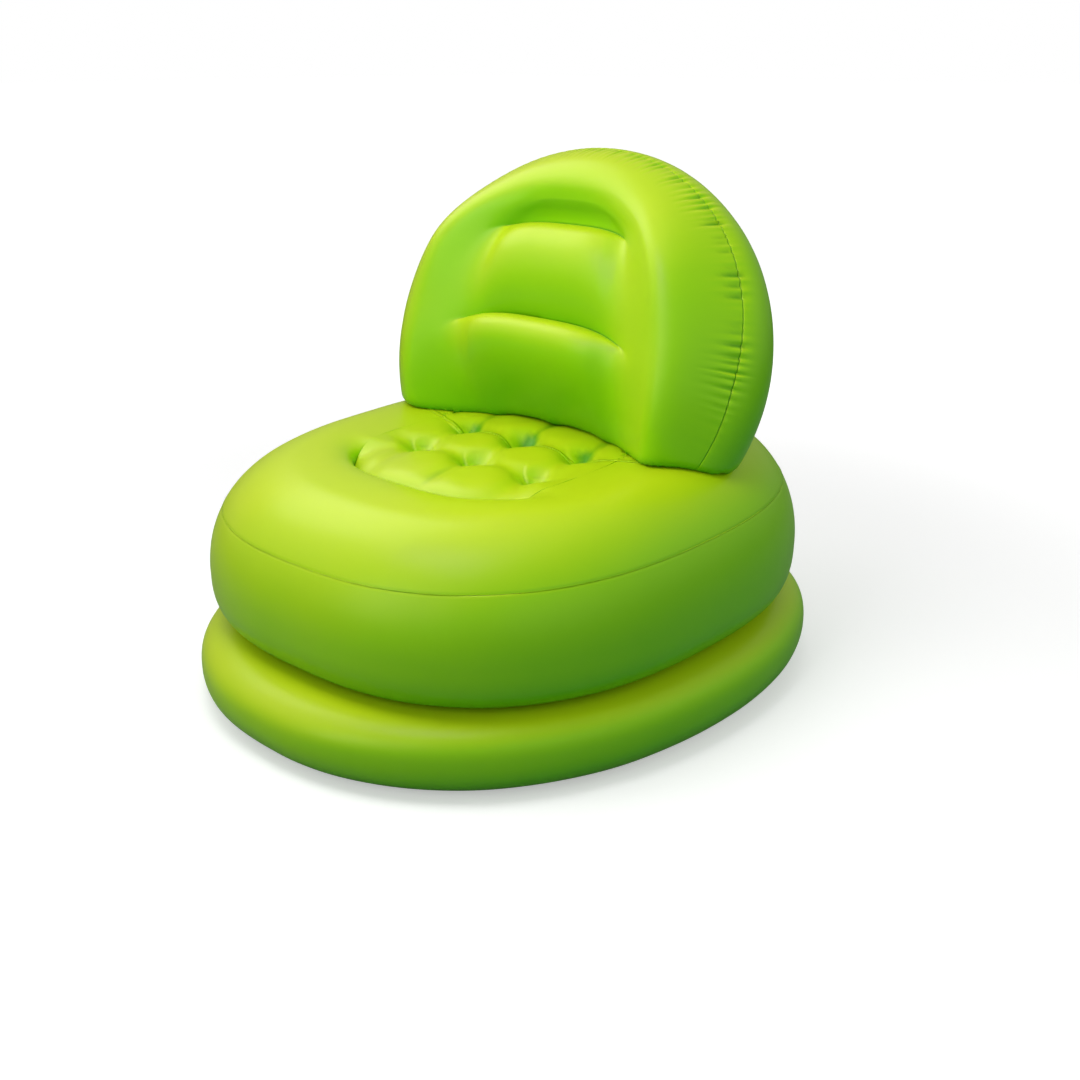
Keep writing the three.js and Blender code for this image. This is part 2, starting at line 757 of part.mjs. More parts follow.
function makeCrossBeam(crease) {
  const reach = archAcross(crease.endUp) * beamEndShare;
  const path = Array.from({ length: beamSteps + 1 }, (_, step) => {
    const side = (2 * step) / beamSteps - 1;
    return frontPoint(side * reach, creaseUp(crease, side), 0);
  });
  let beam = beamSolid(path);
  for (const side of [-1, 0, 1]) {
    const centre = frontPoint(side * beamPortSpacing, crease.middleUp, 0);
    beam = beam.subtract(portSolid(centre, new THREE.Vector3(0, 1, 0)));
  }
  return backPieceGeometry(beam);
}

function makeArchBeam() {
  const archFootUp = bolsterFoot.endUp * halfBack.up + weldHem;
  const firstBelow = archLoop.findIndex((point) => point.y < archFootUp);
  const lastBelow = archLoop.findLastIndex((point) => point.y < archFootUp);
  const whole = [...archLoop.slice(lastBelow), ...archLoop.slice(0, firstBelow + 1)];
  const path = whole.filter((_, index) => index % 2 === 0);
  const centre = new THREE.Vector3(0, archPortHeight, 0);
  return backPieceGeometry(beamSolid(path).subtract(portSolid(centre, new THREE.Vector3(1, 0, 0))));
}

// Valves: each is made in its own frame, with +Z out of the skin and the origin on it

const frameAt = (point, outward) => new THREE.Matrix4().compose(
  point,
  new THREE.Quaternion().setFromUnitVectors(new THREE.Vector3(0, 0, 1), outward),
  new THREE.Vector3(1, 1, 1),
);

function turned(profile) {
  const points = profile.map(([radius, height]) => new THREE.Vector2(radius, height));
  return new THREE.LatheGeometry([...points, points[0].clone()], valveSteps).rotateX(quarterTurn);
}

const ringProfile = (inner, outer, bottom, top) => [
  [inner, bottom], [outer, bottom], [outer, top], [inner, top]];

const cupOuterRadius = valveCupRadius + valveCupWall;
const skinHoleRadius = cupOuterRadius + weldGap;
const cupFloorTop = valveCupWall - valveCupDepth;
const stemTop = -valveStemSink;
const stemCollarTop = -valveCupDepth - valveRunningGap - valveTravel;
const stemCollarRadius = valveStemRadius + valveLipWidth;
const stemBottom = stemCollarTop - valveLipHeight;
const tetherBottom = stemTop - valveLipHeight - valveRunningGap - valvePlugTravel - valveTetherThickness;
const tetherInner = valveStemRadius + valveRunningGap;
const tetherStrapInner = stemCollarRadius + 2 * valveRunningGap;

// The welded ring follows the skin, and the cup goes through it.
function makeValveCup(place, hullBetween) {
  const blank = turned([[0, -valveCupDepth], [valveRingRadius, -valveCupDepth],
    [valveRingRadius, valveCupDepth], [0, valveCupDepth]]);
  const bore = turned([[0, cupFloorTop], [valveCupRadius, cupFloorTop],
    [valveCupRadius, valveCupDepth], [0, valveCupDepth]]);
  const cup = turned([[valveStemRadius + valveRunningGap, -valveCupDepth], [cupOuterRadius, -valveCupDepth],
    [cupOuterRadius, valveRingThickness], [valveCupRadius, valveRingThickness],
    [valveCupRadius, cupFloorTop], [valveStemRadius + valveRunningGap, cupFloorTop]]);
  const ring = solidOf(blank, place).intersect(hullBetween).subtract(solidOf(bore, place));
  return geometryOf(largestBody(ring.add(solidOf(cup, place)))).applyMatrix4(place.clone().invert());
}

function makeValveStem() {
  return turned([[valveStemBore, stemBottom], [stemCollarRadius, stemBottom],
    [stemCollarRadius, stemCollarTop], [valveStemRadius, stemCollarTop],
    [valveStemRadius, stemTop - valveLipHeight], [stemCollarRadius, stemTop - valveLipHeight],
    [stemCollarRadius, stemTop], [valveStemBore, stemTop]]);
}

// The plug, its strap and its loose ring are one moulding.
function makeValvePlug() {
  const headBottom = stemTop + valveRunningGap;
  const headTop = headBottom + valvePlugHeadThickness;
  const stubRadius = valveStemBore - valveRunningGap;
  const stubBottom = headBottom - valvePlugStubLength;
  const strapOuter = tetherStrapInner + valveTetherThickness;
  const plug = turned([[0, headBottom - valvePlugStubWall], [stubRadius - valvePlugStubWall, stubBottom],
    [stubRadius, stubBottom], [stubRadius, headBottom], [stemCollarRadius, headBottom],
    [stemCollarRadius, headTop], [0, headTop]]);
  const ring = turned(ringProfile(tetherInner, tetherInner + valveTetherWidth,
    tetherBottom, tetherBottom + valveTetherThickness));
  const strapLength = headTop - tetherBottom;
  const strap = new THREE.BoxGeometry(valveTetherThickness, valveTetherStrap, strapLength);
  strap.translate(tetherStrapInner + valveTetherThickness / 2, 0, tetherBottom + strapLength / 2);
  const bridge = new THREE.BoxGeometry(strapOuter, valveTetherStrap, valvePlugHeadThickness / 2);
  bridge.translate(strapOuter / 2, 0, headTop - valvePlugHeadThickness / 4);
  const foot = new THREE.BoxGeometry(strapOuter - tetherInner, valveTetherStrap, valveTetherThickness);
  foot.translate((strapOuter + tetherInner) / 2, 0, tetherBottom + valveTetherThickness / 2);
  return geometryOf(solidOf(plug).add(solidOf(bridge)).add(solidOf(strap))
    .add(solidOf(foot)).add(solidOf(ring)));
}

function makeValveFlap() {
  const top = stemBottom - valveRunningGap;
  const bottom = top - valveFlapThickness;
  return turned([[0, bottom], [stemCollarRadius, bottom], [stemCollarRadius, top], [0, top]]);
}

function addValve(prefix, place, hullBetween) {
  const valve = new THREE.Group();
  valve.applyMatrix4(place);
  armchair.add(valve);
  addPiece(`${prefix}_valve_cup`, makeValveCup(place, hullBetween), skin, valve);
  addPiece(`${prefix}_valve_stem`, makeValveStem(), skin, valve);
  addPiece(`${prefix}_valve_plug`, makeValvePlug(), valveVinyl, valve);
  addPiece(`${prefix}_valve_flap`, makeValveFlap(), valveVinyl, valve);
}

const valveHole = (place) => {
  const hole = new THREE.CylinderGeometry(skinHoleRadius, skinHoleRadius, 4 * valveCupDepth, valveSteps);
  return solidOf(hole.rotateX(quarterTurn), place);
};

// Where the backrest's valve sits: low on the sitter's left, just behind the widest line
const backValveLow = halfBack.forward * Math.sin(backValveBehind) * Math.sin(backLean);
const backValveUp = (rimHeight + backValveAboveRim - backCentreHeight - backValveLow) / Math.cos(backLean);
const backValveTurn = Math.asin(backValveUp / (halfBack.up * Math.cos(backValveBehind)));
const backValveSpot = eggPoint(backValveTurn, backValveBehind);
const backValveOutward = new THREE.Vector3(
  backValveSpot.x / halfBack.across ** 2,
  backValveSpot.y / halfBack.up ** 2,
  backValveSpot.z / halfBack.forward ** 2,
).normalize().transformDirection(back.matrixWorld);
const backValvePlace = frameAt(backValveSpot.applyMatrix4(back.matrixWorld), backValveOutward);

// Where the seat's valve sits: on the lower wall, behind
const seatValveUp = (seatValveHeight - seatWidestHeight) / (rimHeight - seatWidestHeight);
const seatValveAcross = 1 - (1 - seatValveUp ** rimFullness) ** (1 / rimFullness);
const seatValveOval = mixOval(seatOval, rimOval, seatValveAcross);
const seatValveSpot = liftSeat(ovalPoint(seatValveOval, seatValveTurn, seatValveHeight));
const seatValveOutward = new THREE.Vector3(
  Math.abs(Math.cos(seatValveTurn)) ** (2 - 2 / seatRoundness) / seatValveOval.halfWidth,
  Math.abs(Math.sin(seatValveTurn)) ** (2 - 2 / seatRoundness) / seatValveOval.halfDepth,
  0,
).normalize();
const seatValvePlace = frameAt(seatValveSpot, seatValveOutward);

const backRingHull = backOffset(weldGap + valveRingThickness).subtract(backOffset(weldGap));
const seatRingHull = solidOf(geometryOfSurface(
  offsetSurface(seatSurface, weldGap + valveRingThickness))).subtract(seatClearSolid);

// The chair, from the floor up
addPiece('base_bottom_panel', makeBaseBottomPanel(), skin);
addPiece('base_ring_wall', makeBaseRingWall(), skin);
addPiece('waist_divider', makeWaistDivider(), innerSheet);
addPiece('seat_lower_wall', geometryOf(
  largestBody(solidOf(makeSeatLowerWall()).subtract(valveHole(seatValvePlace)))), skin);
addPiece('seat_upper_wall', makeSeatUpperWall(), skin);
addPiece('seat_tufted_panel', makeTuftedPanel(), skin);
tuftPlaces.forEach((place, index) => {
  addPiece(`seat_tuft_post_${index + 1}`, makeTuftPost(place), innerSheet);
  addPiece(`base_tie_post_${index + 1}`, makeBasePost(place), innerSheet);
});
addPiece('backrest_front_panel', makeBackFrontPanel(), skin, back);
addPiece('backrest_rear_panel', backPieceGeometry(
  backRearSolid().subtract(valveHole(backValvePlace))), skin, back);
addPiece('backrest_lower_beam', makeCrossBeam(lowerCrease), innerSheet, back);
addPiece('backrest_upper_beam', makeCrossBeam(upperCrease), innerSheet, back);
addPiece('backrest_arch_beam', makeArchBeam(), innerSheet, back);
addValve('backrest', backValvePlace, backRingHull);
addValve('seat', seatValvePlace, seatRingHull);

export default armchair;
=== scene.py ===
import math
import random

import bpy
import numpy as np
from mathutils import Matrix, Vector, noise
from mathutils.bvhtree import BVHTree


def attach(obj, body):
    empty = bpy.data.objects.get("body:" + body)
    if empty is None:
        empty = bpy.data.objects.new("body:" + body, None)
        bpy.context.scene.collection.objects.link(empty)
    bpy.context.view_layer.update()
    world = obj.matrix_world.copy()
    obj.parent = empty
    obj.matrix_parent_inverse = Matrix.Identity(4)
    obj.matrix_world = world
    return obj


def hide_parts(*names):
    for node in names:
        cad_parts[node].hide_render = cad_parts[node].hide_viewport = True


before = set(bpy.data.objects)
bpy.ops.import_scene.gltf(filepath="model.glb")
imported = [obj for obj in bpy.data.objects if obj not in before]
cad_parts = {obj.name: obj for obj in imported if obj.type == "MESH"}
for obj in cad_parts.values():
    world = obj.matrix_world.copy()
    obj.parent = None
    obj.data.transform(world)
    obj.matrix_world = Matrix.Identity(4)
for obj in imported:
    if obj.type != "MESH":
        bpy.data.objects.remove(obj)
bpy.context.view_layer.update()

# An inflatable lounge armchair of lime-green vinyl sheet.
# Surfaces are worked out in millimetres, in the frame's axes, and turned into metres as meshes are made.
METRE = 0.001

# Base ring
BASE_WIDTH = 840
BASE_DEPTH = 990
BASE_ROUNDNESS = 2.17
BASE_HEIGHT = 110
FLOOR_INSET = 60
BASE_TOP_FULLNESS = 2.7
BASE_FOOT_FULLNESS = 2.2

# Seat body
SEAT_WIDTH = 794
SEAT_DEPTH = 880
SEAT_FORWARD = 9
SEAT_ROUNDNESS = 2.47
WIDEST_HEIGHT = 190
SEAM_HEIGHT = 282
RIM_HEIGHT = 349
RIM_INSET = 132
RIM_FULLNESS = 2.06
RIM_RISE = 15
WAIST_INSET = 70
WAIST_FULLNESS = 3

# Well and tufted panel
WELL_WIDTH = 372
WELL_DEPTH = 364
WELL_FORWARD = 40
WELL_ROUNDNESS = 3.2
WELL_LIP_FULLNESS = 3.4
LIP_DROP_FRONT = 31
LIP_DROP_SIDE = 5
LIP_SIDE_POWER = 1.6
LIP_FRONT_FROM = (0.4, 0.75)
CUSHION_TOP_SIDE = 334
CUSHION_CROWN = 10
CUSHION_BACK_RISE = 9
CUSHION_RISE_SPAN = (-60, 110)
TUFT_PITCH_X = 117
TUFT_PITCH_Y = 102
TUFT_FORWARD = 30
TUFT_DEPTH = 25
TUFT_MIDDLE_DEPTH = 37
TUFT_SPREAD = 27
TUFT_SHARP_SHARE = 0.4
TUFT_SHARP_SPREAD = 9
TUFT_VALLEY_DEPTH = 4.5
TUFT_VALLEY_WIDTH = 17
TUFT_VALLEY_LEAN = 0.15
TUFT_FOLD_TURN = math.radians(196)
TUFT_FOLD_CURL = 0.7
TUFT_FOLD_REACH = 50
TUFT_FOLD_STEEP_WIDTH = 2.8
TUFT_FOLD_GENTLE_WIDTH = 11
TUFT_FOLD_HEIGHT = 4.2
TUFT_POST_RADIUS = 14
BASE_POST_RADIUS = 20
# Posts and beams end this far inside the skins, whose swells and dips they stay clear of.
TIE_CLEARANCE = 2.5
# The backrest curls in under itself by this much where it stands on the seat.
FOOT_ROUNDING = 16
# No part of the seat is as high as this.
CLEAR_OF_SEAT_HEIGHT = 420

# Air ports in the sheets that divide a chamber
DIVIDER_PORT_RADIUS = 24
DIVIDER_PORT_ACROSS = 220
DIVIDER_PORT_ALONG = 260
BEAM_PORT_RADIUS = 16
BEAM_PORT_SPACING = 92
ARCH_PORT_HEIGHT = 70
BEAM_END_SHARE = 0.94

# Backrest, in its own leaning frame: X across, Y up the lean, Z towards the sitter
OVERALL_HEIGHT = 760
BACK_WIDTH = 704
BACK_THICKNESS = 274
BACK_FOOT_HEIGHT = 145
BACK_LEAN = math.radians(17.7)
BACK_SET_BACK = 132
SEAM_FORWARD = 45
SEAM_FORWARD_TOP = 25
ARCH_OUTER_FULLNESS = 0.6
ARCH_UNDER_FULLNESS = 0.2
ARCH_INNER_SPREAD = 70
ARCH_TOP_SPREAD = 20
ARCH_UNDER_SPREAD = 10
ARCH_RISE_BESIDE_LOWER = 0.12
ARCH_INNER_HALF_WIDTH = 195
ARCH_INNER_ROUNDNESS = 3.0
# Heights up the lean are shares of half the backrest's length, from its middle.
ARCH_INNER_FOOT = -0.53
ARCH_INNER_TOP = 0.7
RECESS_SHOULDER = 0.66
# How far forward the arch's inner line lies at four heights up the lean
ARCH_INNER_UPS = (-0.53, 0.04, 0.53, 0.7)
ARCH_INNER_FORWARDS = (33, 100, 92, 76)
# Creases: how far up in the middle and at the ends, and how far forward in the middle
FOOT_CREASE = {"up": (-0.38, -0.47), "forward": -8}
LOWER_CREASE = {"up": (0.144, 0.03), "forward": 74}
UPPER_CREASE = {"up": (0.6, 0.515), "forward": 52}
LOWER_BULGE = 66
UPPER_BULGE = 48
# How the swell of a bolster starts over its lower crease and ends under its upper one
SWELL_LOW_POWER = 0.9
SWELL_HIGH_POWER = 0.42
CREASE_POWER = 3
LOWER_FADE_POWER = 2.2
UPPER_FADE_POWER = 2.0
RECESS_DISH = 4
SLOPE_REACH = 40
SLOPE_LIMITS = (-0.2, 0.8)
# What slopes outwards does so from a point this far up the lean.
ARCH_CENTRE_UP = 40

# How far the air swells the sheets unevenly, and over what length
SWELL_HEIGHT = 0.7
SWELL_LENGTH = 110
BASE_SWELL_HEIGHT = 0.9
PANEL_SWELL_HEIGHT = 1.2
PANEL_SWELL_LENGTH = 45

# Welded sheet
SHEET_WALL = 0.45
WELD_GAP = 0.35
WELD_HEM = 8
SEAM_GROOVE_DEPTH = 0.5
SEAM_GROOVE_WIDTH = 1.4
PUCKER_PITCH = 12.5
PUCKER_DEPTH = 6
PUCKER_REACH = 21
PUCKER_REACH_BEHIND = 9.45

# Valves
RING_RADIUS = 13
RING_LIFT = 0.15
RING_EDGE_TOP = 0.75
RING_CREST = 1.5
RING_CREST_OUT = 0.6
RING_INNER_TOP = 1.35
CUP_BEND_DEPTH = 5
CUP_RADIUS = 9.6
CUP_WALL = 1
CUP_DEPTH = 16
STEM_RADIUS = 5
STEM_BORE = 3.6
STEM_TRAVEL = 12
STEM_LIP_WIDTH = 1
STEM_LIP_HEIGHT = 1.2
STEM_SINK = 1
PLUG_TRAVEL = 9
HEAD_THICKNESS = 1.6
HEAD_BEVEL_DROP = 0.3
HEAD_BEVEL_WIDTH = 0.9
DIMPLE_DEPTH = 0.4
DIMPLE_INSETS = (0.7, 1.2)
STUB_LENGTH = 6
STUB_WALL = 1.1
TETHER_WIDTH = 1.6
TETHER_THICKNESS = 1
STRAP_WIDTH = 3.2
STRAP_LAP = 2
STRAP_BEND = 1.4
FLAP_THICKNESS = 0.8
FLAP_ROUNDING = 0.2
RUNNING_GAP = 0.3
BACK_VALVE_ABOVE_RIM = 20
BACK_VALVE_BEHIND = math.radians(-21)
SEAT_VALVE_TURN = math.radians(68)
SEAT_VALVE_HEIGHT = 205

# How finely the pieces are meshed
MERGE_DISTANCE = 0.001
BODY_COLUMNS = 400
BASE_FOOT_ROWS = 18
BASE_TOP_ROWS = 24
WAIST_ROWS = 22
UNDER_SEAM_ROWS = 16
RIM_ROWS = 28
# Steps close to the seam are fine enough to hold its groove.
SEAM_STEP_SHARES = (0.002, 0.008, 0.025, 0.055)
WELL_CELLS = 200
LIP_ROWS = 30
# Rows right at a hem keep the sheet's bend there from showing as a wide crease.
LIP_END_SHARES = (0.985, 0.994, 0.998, 1)
BOLSTER_COLUMNS = 110
LOWER_ROWS = 46
UPPER_ROWS = 38
RECESS_ROWS = 26
ARCH_ROWS = 30
RELAX_ROUNDS = 60
EASE_ROUNDS = 160
SEAM_BAND_ROWS = 8
REAR_ROWS = 30
VALVE_STEPS = 96
POST_STEPS = 72
PLATE_CELLS = 80
BEAM_ROWS = 14
BAND_SHARE = 0.24

# How a fold that gets painted shade is found: over this many steps, from this depth and over this reach
HOLLOW_ROUNDS = 6
HOLLOW_FROM = 0.15
HOLLOW_REACH = 1.2

# How long a cutting rod is, and how high the rays start that look for the seat and for a valve's skin
CUTTER_LENGTH = 40
PROBE_HEIGHT = 1000
VALVE_PROBE_HEIGHT = 20

rolls = random.Random(4)


def mix(start, end, share):
    return start + (end - start) * share


def smooth_step(low, high, value):
    share = np.clip((value - low) / (high - low), 0, 1)
    return share * share * (3 - 2 * share)


# Surfaces: points in millimetres, and faces that run anticlockwise seen from outside

def strip_faces(lower, upper):
    """Faces between two closed rows of point numbers."""
    return np.stack([lower, np.roll(lower, -1), np.roll(upper, -1), upper], 1).tolist()


def unit(vectors):
    return vectors / np.linalg.norm(vectors, axis=1, keepdims=True)


def lengths_along(row):
    """How far along a row each of its points lies."""
    return np.concatenate([[0], np.cumsum(np.linalg.norm(np.diff(row, axis=0), axis=1))])


def ring_faces(rows, columns, first=0):
    numbers = first + np.arange(rows * columns).reshape(rows, columns)
    return [face for low, high in zip(numbers, numbers[1:]) for face in strip_faces(low, high)]


def grid_faces(rows, columns, first=0):
    numbers = first + np.arange(rows * columns).reshape(rows, columns)
    corners = [numbers[:-1, :-1], numbers[:-1, 1:], numbers[1:, 1:], numbers[1:, :-1]]
    return np.stack(corners, -1).reshape(-1, 4).tolist()


def merged(points):
    """Which points are kept where some lie on each other, and which of these each point becomes."""
    keys = np.round(points / MERGE_DISTANCE).astype(np.int64)
    _, kept, own = np.unique(keys, axis=0, return_index=True, return_inverse=True)
    return kept, own.ravel().tolist()


def weld(points, faces):
    """Joins points that lie on each other and drops corners and faces that vanish."""
    kept, own = merged(points)
    clean = [list(dict.fromkeys(own[corner] for corner in face)) for face in faces]
    return points[kept], [corners for corners in clean if len(corners) > 2]


def point_normals(points, faces):
    normals = np.zeros_like(points)
    for size in (3, 4):
        chosen = np.array([face for face in faces if len(face) == size])
        if len(chosen):
            corners = points[chosen]
            if size == 3:
                flat = np.cross(corners[:, 1] - corners[:, 0], corners[:, 2] - corners[:, 0])
            else:
                flat = np.cross(corners[:, 2] - corners[:, 0], corners[:, 3] - corners[:, 1])
            for corner in range(size):
                np.add.at(normals, chosen[:, corner], flat)
    return normals / np.maximum(np.linalg.norm(normals, axis=1, keepdims=True), 1e-9)


def soften(points, faces, height=SWELL_HEIGHT, wavelength=SWELL_LENGTH, seed=0):
    """Air-filled sheet is never quite even: it swells and dips softly."""
    shift = Vector((seed * 7.1, seed * 3.7, seed * 5.3))
    swell = [noise.noise(Vector(point) / wavelength + shift) for point in points]
    return points + point_normals(points, faces) * (np.array(swell) * height)[:, None]


def placed(points, place):
    return points @ np.array(place.to_3x3()).T + np.array(place.translation)


def drawn_in(points, half_width, half_depth):
    """A sheet's edge drawn in towards the middle, where its hem ends."""
    return points * np.array([1 - WELD_HEM / half_width, 1 - WELD_HEM / half_depth, 1])


# Ovals: superellipses in plan

def oval(half_width, half_depth, y, power):
    return np.array([half_width, half_depth, y, power], float)


def inset(shape, distance):
    return shape - np.array([distance, distance, 0, 0])


def oval_row(shape, height, turns):
    half_width, half_depth, y, power = shape
    across, along = np.cos(turns), np.sin(turns)
    return np.stack([
        half_width * np.sign(across) * np.abs(across) ** (2 / power),
        y + half_depth * np.sign(along) * np.abs(along) ** (2 / power),
        np.full(len(turns), float(height)),
    ], 1)


def even_turns(shape, count):
    """Turns that cut the oval into steps of the same length."""
    fine = np.linspace(0, 2 * math.pi, 20001)
    reach = lengths_along(oval_row(shape, 0, fine))
    return np.interp(np.arange(count) / count * reach[-1], reach, fine)


def quarter_step(angle, power):
    """How far across and how far up a step of a quarter of a superellipse lies."""
    across = 1 - math.cos(angle) ** (2 / power) if angle < math.pi / 2 else 1.0
    return across, math.sin(angle) ** (2 / power)


def bulge_rows(widest, edge, height, edge_height, count, power):
    """Rows from where a tube is widest to its edge."""
    steps = [quarter_step(angle, power) for angle in np.linspace(0, math.pi / 2, count + 1)]
    return [(mix(widest, edge, across), mix(height, edge_height, up)) for across, up in steps]


base_oval = oval(BASE_WIDTH / 2, BASE_DEPTH / 2, 0, BASE_ROUNDNESS)
foot_oval = inset(base_oval, FLOOR_INSET)
seat_oval = oval(SEAT_WIDTH / 2, SEAT_DEPTH / 2, -SEAT_FORWARD, SEAT_ROUNDNESS)
rim_oval = inset(seat_oval, RIM_INSET)
waist_oval = inset(seat_oval, WAIST_INSET)
well_oval = oval(WELL_WIDTH / 2, WELL_DEPTH / 2, -WELL_FORWARD, WELL_ROUNDNESS)
body_turns = even_turns(seat_oval, BODY_COLUMNS)
divider_bottom = BASE_HEIGHT - SHEET_WALL / 2
divider_top = BASE_HEIGHT + SHEET_WALL / 2


def lift_seat(points):
    """The seat stands a little higher at its back than at its front."""
    along = (points[:, 1] - seat_oval[2]) / seat_oval[1]
    up = np.clip((points[:, 2] - divider_top) / (RIM_HEIGHT - BASE_HEIGHT), 0, 1)
    points[:, 2] += RIM_RISE * along * up
    return points


def loft(rows):
    return np.concatenate([oval_row(shape, height, body_turns) for shape, height in rows])


def seam_groove(distance):
    """How far a sheet dips beside a weld."""
    return SEAM_GROOVE_DEPTH * np.exp(-(distance / SEAM_GROOVE_WIDTH) ** 2)


def base_ring():
    middle = BASE_HEIGHT / 2
    foot = SHEET_WALL + WELD_GAP
    top = divider_bottom - WELD_GAP
    rows = [(inset(foot_oval, WELD_HEM), foot)]
    rows += bulge_rows(base_oval, foot_oval, middle, foot, BASE_FOOT_ROWS, BASE_FOOT_FULLNESS)[::-1]
    rows += bulge_rows(base_oval, waist_oval, middle, top, BASE_TOP_ROWS, BASE_TOP_FULLNESS)[1:]
    rows.append((inset(waist_oval, WELD_HEM), top))
    faces = ring_faces(len(rows), BODY_COLUMNS)
    points = soften(loft(rows), faces, height=BASE_SWELL_HEIGHT, seed=5)
    points[:, 2] = np.maximum(points[:, 2], foot)
    return points, faces


def rim_angle(height):
    """Where the rim's curve reaches a height, as rim_row takes it."""
    up = (height - WIDEST_HEIGHT) / (RIM_HEIGHT - WIDEST_HEIGHT)
    return math.asin(up ** (RIM_FULLNESS / 2))


def rim_row(angle):
    across, up = quarter_step(angle, RIM_FULLNESS)
    return mix(seat_oval, rim_oval, across), mix(WIDEST_HEIGHT, RIM_HEIGHT, up)


seam_angle = rim_angle(SEAM_HEIGHT)
seam_oval = rim_row(seam_angle)[0]


def dip_at_seam(points, faces):
    """Draws the sheet in along the seam round the seat."""
    normals = point_normals(points, faces)
    seam = lift_seat(oval_row(seam_oval, SEAM_HEIGHT, body_turns))
    rows = points.reshape(-1, BODY_COLUMNS, 3)
    distance = np.linalg.norm(rows - seam[None], axis=2).ravel()
    return points - normals * seam_groove(distance)[:, None]


def seat_lower():
    foot = divider_top + WELD_GAP
    rows = [(inset(waist_oval, WELD_HEM), foot)]
    rows += bulge_rows(seat_oval, waist_oval, WIDEST_HEIGHT, foot, WAIST_ROWS, WAIST_FULLNESS)[::-1]
    angles = list(np.linspace(0, seam_angle, UNDER_SEAM_ROWS + 1)[1:-1])
    angles += [seam_angle * (1 - share) for share in reversed(SEAM_STEP_SHARES)]
    rows += [rim_row(angle) for angle in angles]
    rows.append((seam_oval, SEAM_HEIGHT - WELD_GAP / 2))
    faces = ring_faces(len(rows), BODY_COLUMNS)
    points = soften(dip_at_seam(lift_seat(loft(rows)), faces), faces, seed=1)
    hem = drawn_in(points[-BODY_COLUMNS:], *seam_oval[:2])
    return np.concatenate([points, hem]), ring_faces(len(rows) + 1, BODY_COLUMNS)


def frontness(turn):
    """1 along the front of the well, where its lip is crisp, and 0 beside and behind the sitter."""
    return smooth_step(*LIP_FRONT_FROM, -np.sin(turn))


def well_edge_height(turn):
    return RIM_HEIGHT - mix(LIP_DROP_SIDE, LIP_DROP_FRONT, frontness(turn))


def lip_row(share):
    """A row of the lip, from the rim's crest (share 0) down to the well's edge (share 1)."""
    well = oval_row(well_oval, 0, body_turns)
    turn = np.arctan2(well[:, 1] - well_oval[2], well[:, 0])
    front = frontness(turn)
    angle = share * math.pi / 2
    front_reach = math.sin(angle) ** (2 / WELL_LIP_FULLNESS)
    front_fall = 1 - max(math.cos(angle), 0) ** (2 / WELL_LIP_FULLNESS)
    reach = mix(share, front_reach, front)[:, None]
    fall = mix(share ** LIP_SIDE_POWER, front_fall, front)
    points = mix(oval_row(rim_oval, 0, body_turns), well, reach)
    points[:, 2] = mix(RIM_HEIGHT, well_edge_height(turn), fall)
    return lift_seat(points)


def seat_upper():
    half_pi = math.pi / 2
    angles = [mix(seam_angle, half_pi, share) for share in SEAM_STEP_SHARES[:3]]
    angles += list(np.linspace(seam_angle, half_pi, RIM_ROWS + 1)[1:])
    rows = [(seam_oval, SEAM_HEIGHT + WELD_GAP / 2)]
    rows += [rim_row(min(angle, half_pi - 1e-6)) for angle in angles]
    lip_shares = [*np.linspace(0, 1, LIP_ROWS + 1)[1:-1], *LIP_END_SHARES]
    points = np.concatenate([lift_seat(loft(rows)), *[lip_row(share) for share in lip_shares]])
    faces = ring_faces(len(points) // BODY_COLUMNS, BODY_COLUMNS)
    points = soften(dip_at_seam(points, faces), faces, seed=2)
    hem = points[-BODY_COLUMNS:] - np.array([0, 0, WELD_HEM])
    outer_hem = drawn_in(points[:BODY_COLUMNS], *seam_oval[:2])
    columns = np.arange(BODY_COLUMNS)
    faces += strip_faces(len(points) - BODY_COLUMNS + columns, len(points) + columns)
    faces += strip_faces(len(points) + BODY_COLUMNS + columns, columns)
    return np.concatenate([points, hem, outer_hem]), faces


# Tufted panel

tufts = [(column * TUFT_PITCH_X, row * TUFT_PITCH_Y / 2 - TUFT_FORWARD)
         for row in (-1, 1) for column in (-1, 0, 1)]


def cushion_height(x, y, share):
    crown = CUSHION_CROWN * (1 - (2 * x / WELL_WIDTH) ** 2)
    top = CUSHION_TOP_SIDE + crown + CUSHION_BACK_RISE * smooth_step(*CUSHION_RISE_SPAN, y)
    turn = np.arctan2(y - well_oval[2], x)
    height = mix(top, well_edge_height(turn), share ** mix(3, 10, frontness(turn)))
    pull = tuft_valleys(x, y)
    fold = np.zeros_like(x)
    for (tuft_x, tuft_y), (swing, size) in zip(tufts, fold_rolls):
        away = np.hypot(x - tuft_x, y - tuft_y)
        broad = np.exp(-(away / TUFT_SPREAD) ** 2)
        sharp = np.exp(-away / TUFT_SHARP_SPREAD)
        depth = TUFT_MIDDLE_DEPTH if tuft_x == 0 else TUFT_DEPTH
        pull += depth * mix(broad, sharp, TUFT_SHARP_SHARE)
        fold += tuft_fold(x - tuft_x, y - tuft_y, away, swing, size)
    return height + (fold - pull) * (1 - share ** 6)


def tuft_valleys(x, y):
    """Soft valleys that run from tuft to tuft, and on from the tufts towards the edge."""
    total = np.zeros_like(x)
    ahead = np.minimum(y + TUFT_FORWARD + TUFT_PITCH_Y / 2, 0)
    for column in (-1, 0, 1):
        off = (x - column * TUFT_PITCH_X + TUFT_VALLEY_LEAN * ahead) / TUFT_VALLEY_WIDTH
        total += np.exp(-off ** 2)
    for row in (-1, 1):
        off = (y + TUFT_FORWARD - row * TUFT_PITCH_Y / 2) / TUFT_VALLEY_WIDTH
        total += np.exp(-off ** 2)
    return TUFT_VALLEY_DEPTH * np.minimum(total, 1.2)


